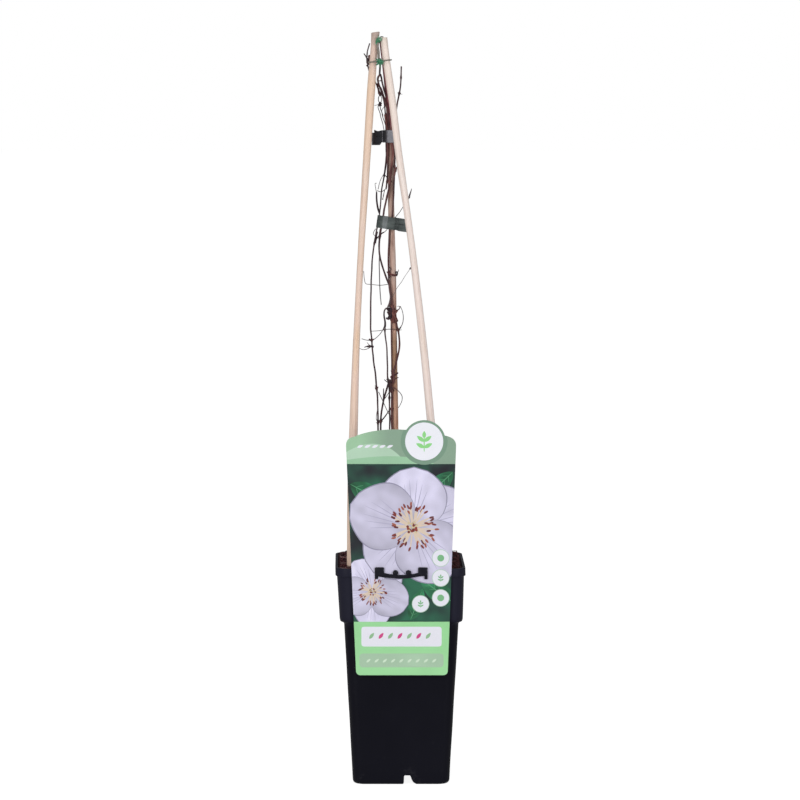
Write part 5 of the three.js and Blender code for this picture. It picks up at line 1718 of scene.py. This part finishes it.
def build_card(points, triangles, colours, material):
    """The card's printed front, plain back and edges."""
    count = len(points)
    front = [(x, LABEL_FRONT_Y + label_bow(x, z), z) for x, z in points]
    back = [(x, y + LABEL_THICKNESS, z) for x, y, z in front]
    edges = {(t[i], t[(i + 1) % 3]) for t in triangles for i in range(3)}
    rim = [(a, b) for a, b in edges if (b, a) not in edges]
    faces = list(triangles) + [tuple(count + i for i in reversed(t)) for t in triangles]
    faces += [(b, a, count + a, count + b) for a, b in sorted(rim)]
    used = sorted({i for face in faces for i in face})
    new = {old: i for i, old in enumerate(used)}
    both = front + back
    shape = Shape().add([both[i] for i in used], [tuple(new[i] for i in face) for face in faces])
    card = placed("look_label", shape.mesh("label"))
    attribute = card.data.color_attributes.new("print", "FLOAT_COLOR", "CORNER")
    plain = [rgb(*WHITE)] * (3 * len(triangles) + 4 * len(rim))
    attribute.data.foreach_set("color", np.array(colours + plain, np.float32).ravel())
    finish(card, "label", material, 30)


# ---------------- stage
BACKDROP_LIGHT = 0.28
FLOOR_REACH = 30


def white_to_the_camera(tree, seen_strength):
    """A strength for the white surroundings, of which the object gets only BACKDROP_LIGHT."""
    strength = tree.nodes.new("ShaderNodeMapRange")
    strength.inputs["To Min"].default_value = BACKDROP_LIGHT
    strength.inputs["To Max"].default_value = seen_strength
    tree.links.new(tree.nodes.new("ShaderNodeLightPath").outputs["Is Camera Ray"], strength.inputs["Value"])
    return strength.outputs["Result"]


def make_floor():
    mesh = bpy.data.meshes.new("floor")
    plan = [(-1, -1, 0), (1, -1, 0), (1, 1, 0), (-1, 1, 0)]
    mesh.from_pydata(np.array(plan, float) * FLOOR_REACH, [], [(0, 1, 2, 3)])
    s = Surface("plain_floor", Roughness=0.9, Specular_IOR_Level=0.0)
    s.set("Base Color", (170, 170, 170))
    s.set("Emission Color", (255, 255, 255))
    s.set("Emission Strength", white_to_the_camera(s.material.node_tree, 0.9))
    mesh.materials.append(s.material)
    placed("floor", mesh)


LIGHT_TARGET = Vector((0, 0, 0.35))
# Name, place and size in metres, power in watts.
SOFTBOXES = [
    ("key", (-1.4, -2.5, 0.9), (0.8, 2.0), 32),
    ("fill", (1.5, -2.4, 0.8), (0.8, 2.0), 24),
    ("top", (0.0, -0.6, 2.6), (1.4, 1.0), 10),
]


def softbox(name, location, size, power):
    data = bpy.data.lights.new(name, "AREA")
    data.shape = "RECTANGLE"
    data.size, data.size_y = size
    data.energy = power
    light = placed(name, data)
    light.location = location
    light.rotation_euler = (LIGHT_TARGET - Vector(location)).to_track_quat("-Z", "Y").to_euler()


def make_light():
    """A white backdrop as the camera sees it, which gives the object only part of its light."""
    world = bpy.data.worlds.new("studio")
    world.use_nodes = True
    background = world.node_tree.nodes["Background"]
    background.inputs["Color"].default_value = rgb(255, 255, 255)
    world.node_tree.links.new(white_to_the_camera(world.node_tree, 1.0), background.inputs["Strength"])
    bpy.context.scene.world = world
    for light in SOFTBOXES:
        softbox(*light)
    bpy.context.scene.view_settings.view_transform = "Standard"


# ---------------- the whole object
make_camera()
make_pot(pot_plastic())
make_soil(soil_mix())
# The two pale canes are of one wood; the left one's darker, warmer colours are partly its own tint and
# partly painted shade.
left_wood = pale_wood(
    "left_cane_wood", light=(235, 214, 201), warm=(235, 203, 176), pink=(238, 212, 206),
    upper=(241, 243, 255), tip=(200, 204, 214))
right_wood = pale_wood(
    "right_cane_wood", light=(244, 231, 225), warm=(240, 223, 212), pink=(246, 227, 223),
    upper=(255, 255, 255), tip=(232, 235, 230))
make_pale_cane("left_cane", LEFT_CANE, LEFT_CANE_GIRTH, 2.0, LEFT_SAW_SLOPE, left_wood)
make_pale_cane("right_cane", RIGHT_CANE, RIGHT_CANE_GIRTH, 6.0, RIGHT_SAW_SLOPE, right_wood)
make_rear_cane(brown_wood())
bark = vine_bark()
make_vine("outer_vine", OUTER_VINE, OUTER_REMAINS, 21, bark)
make_vine("spiral_vine", SPIRAL_VINE, SPIRAL_REMAINS, 22, bark)
make_vine("inner_vine", INNER_VINE, INNER_REMAINS, 23, bark)
make_vine("short_vine", SHORT_VINE, SHORT_REMAINS, 24, bark)
make_tape("upper_tape", UPPER_TAPE, binding_tape("black_tape", (6, 6, 11), (16, 16, 24), 0.7))
make_tape("lower_tape", LOWER_TAPE, binding_tape("green_tape", (72, 79, 78), (96, 104, 102), 0.26))
steel = staple_steel()
make_staple("upper_tape_staple", UPPER_TAPE, steel)
make_staple("lower_tape_staple", LOWER_TAPE, steel)
green = tie_green()
make_top_tie(green)
make_second_tie(green)
make_clip(clip_plastic())
make_label(printed_card())
make_floor()
make_light()
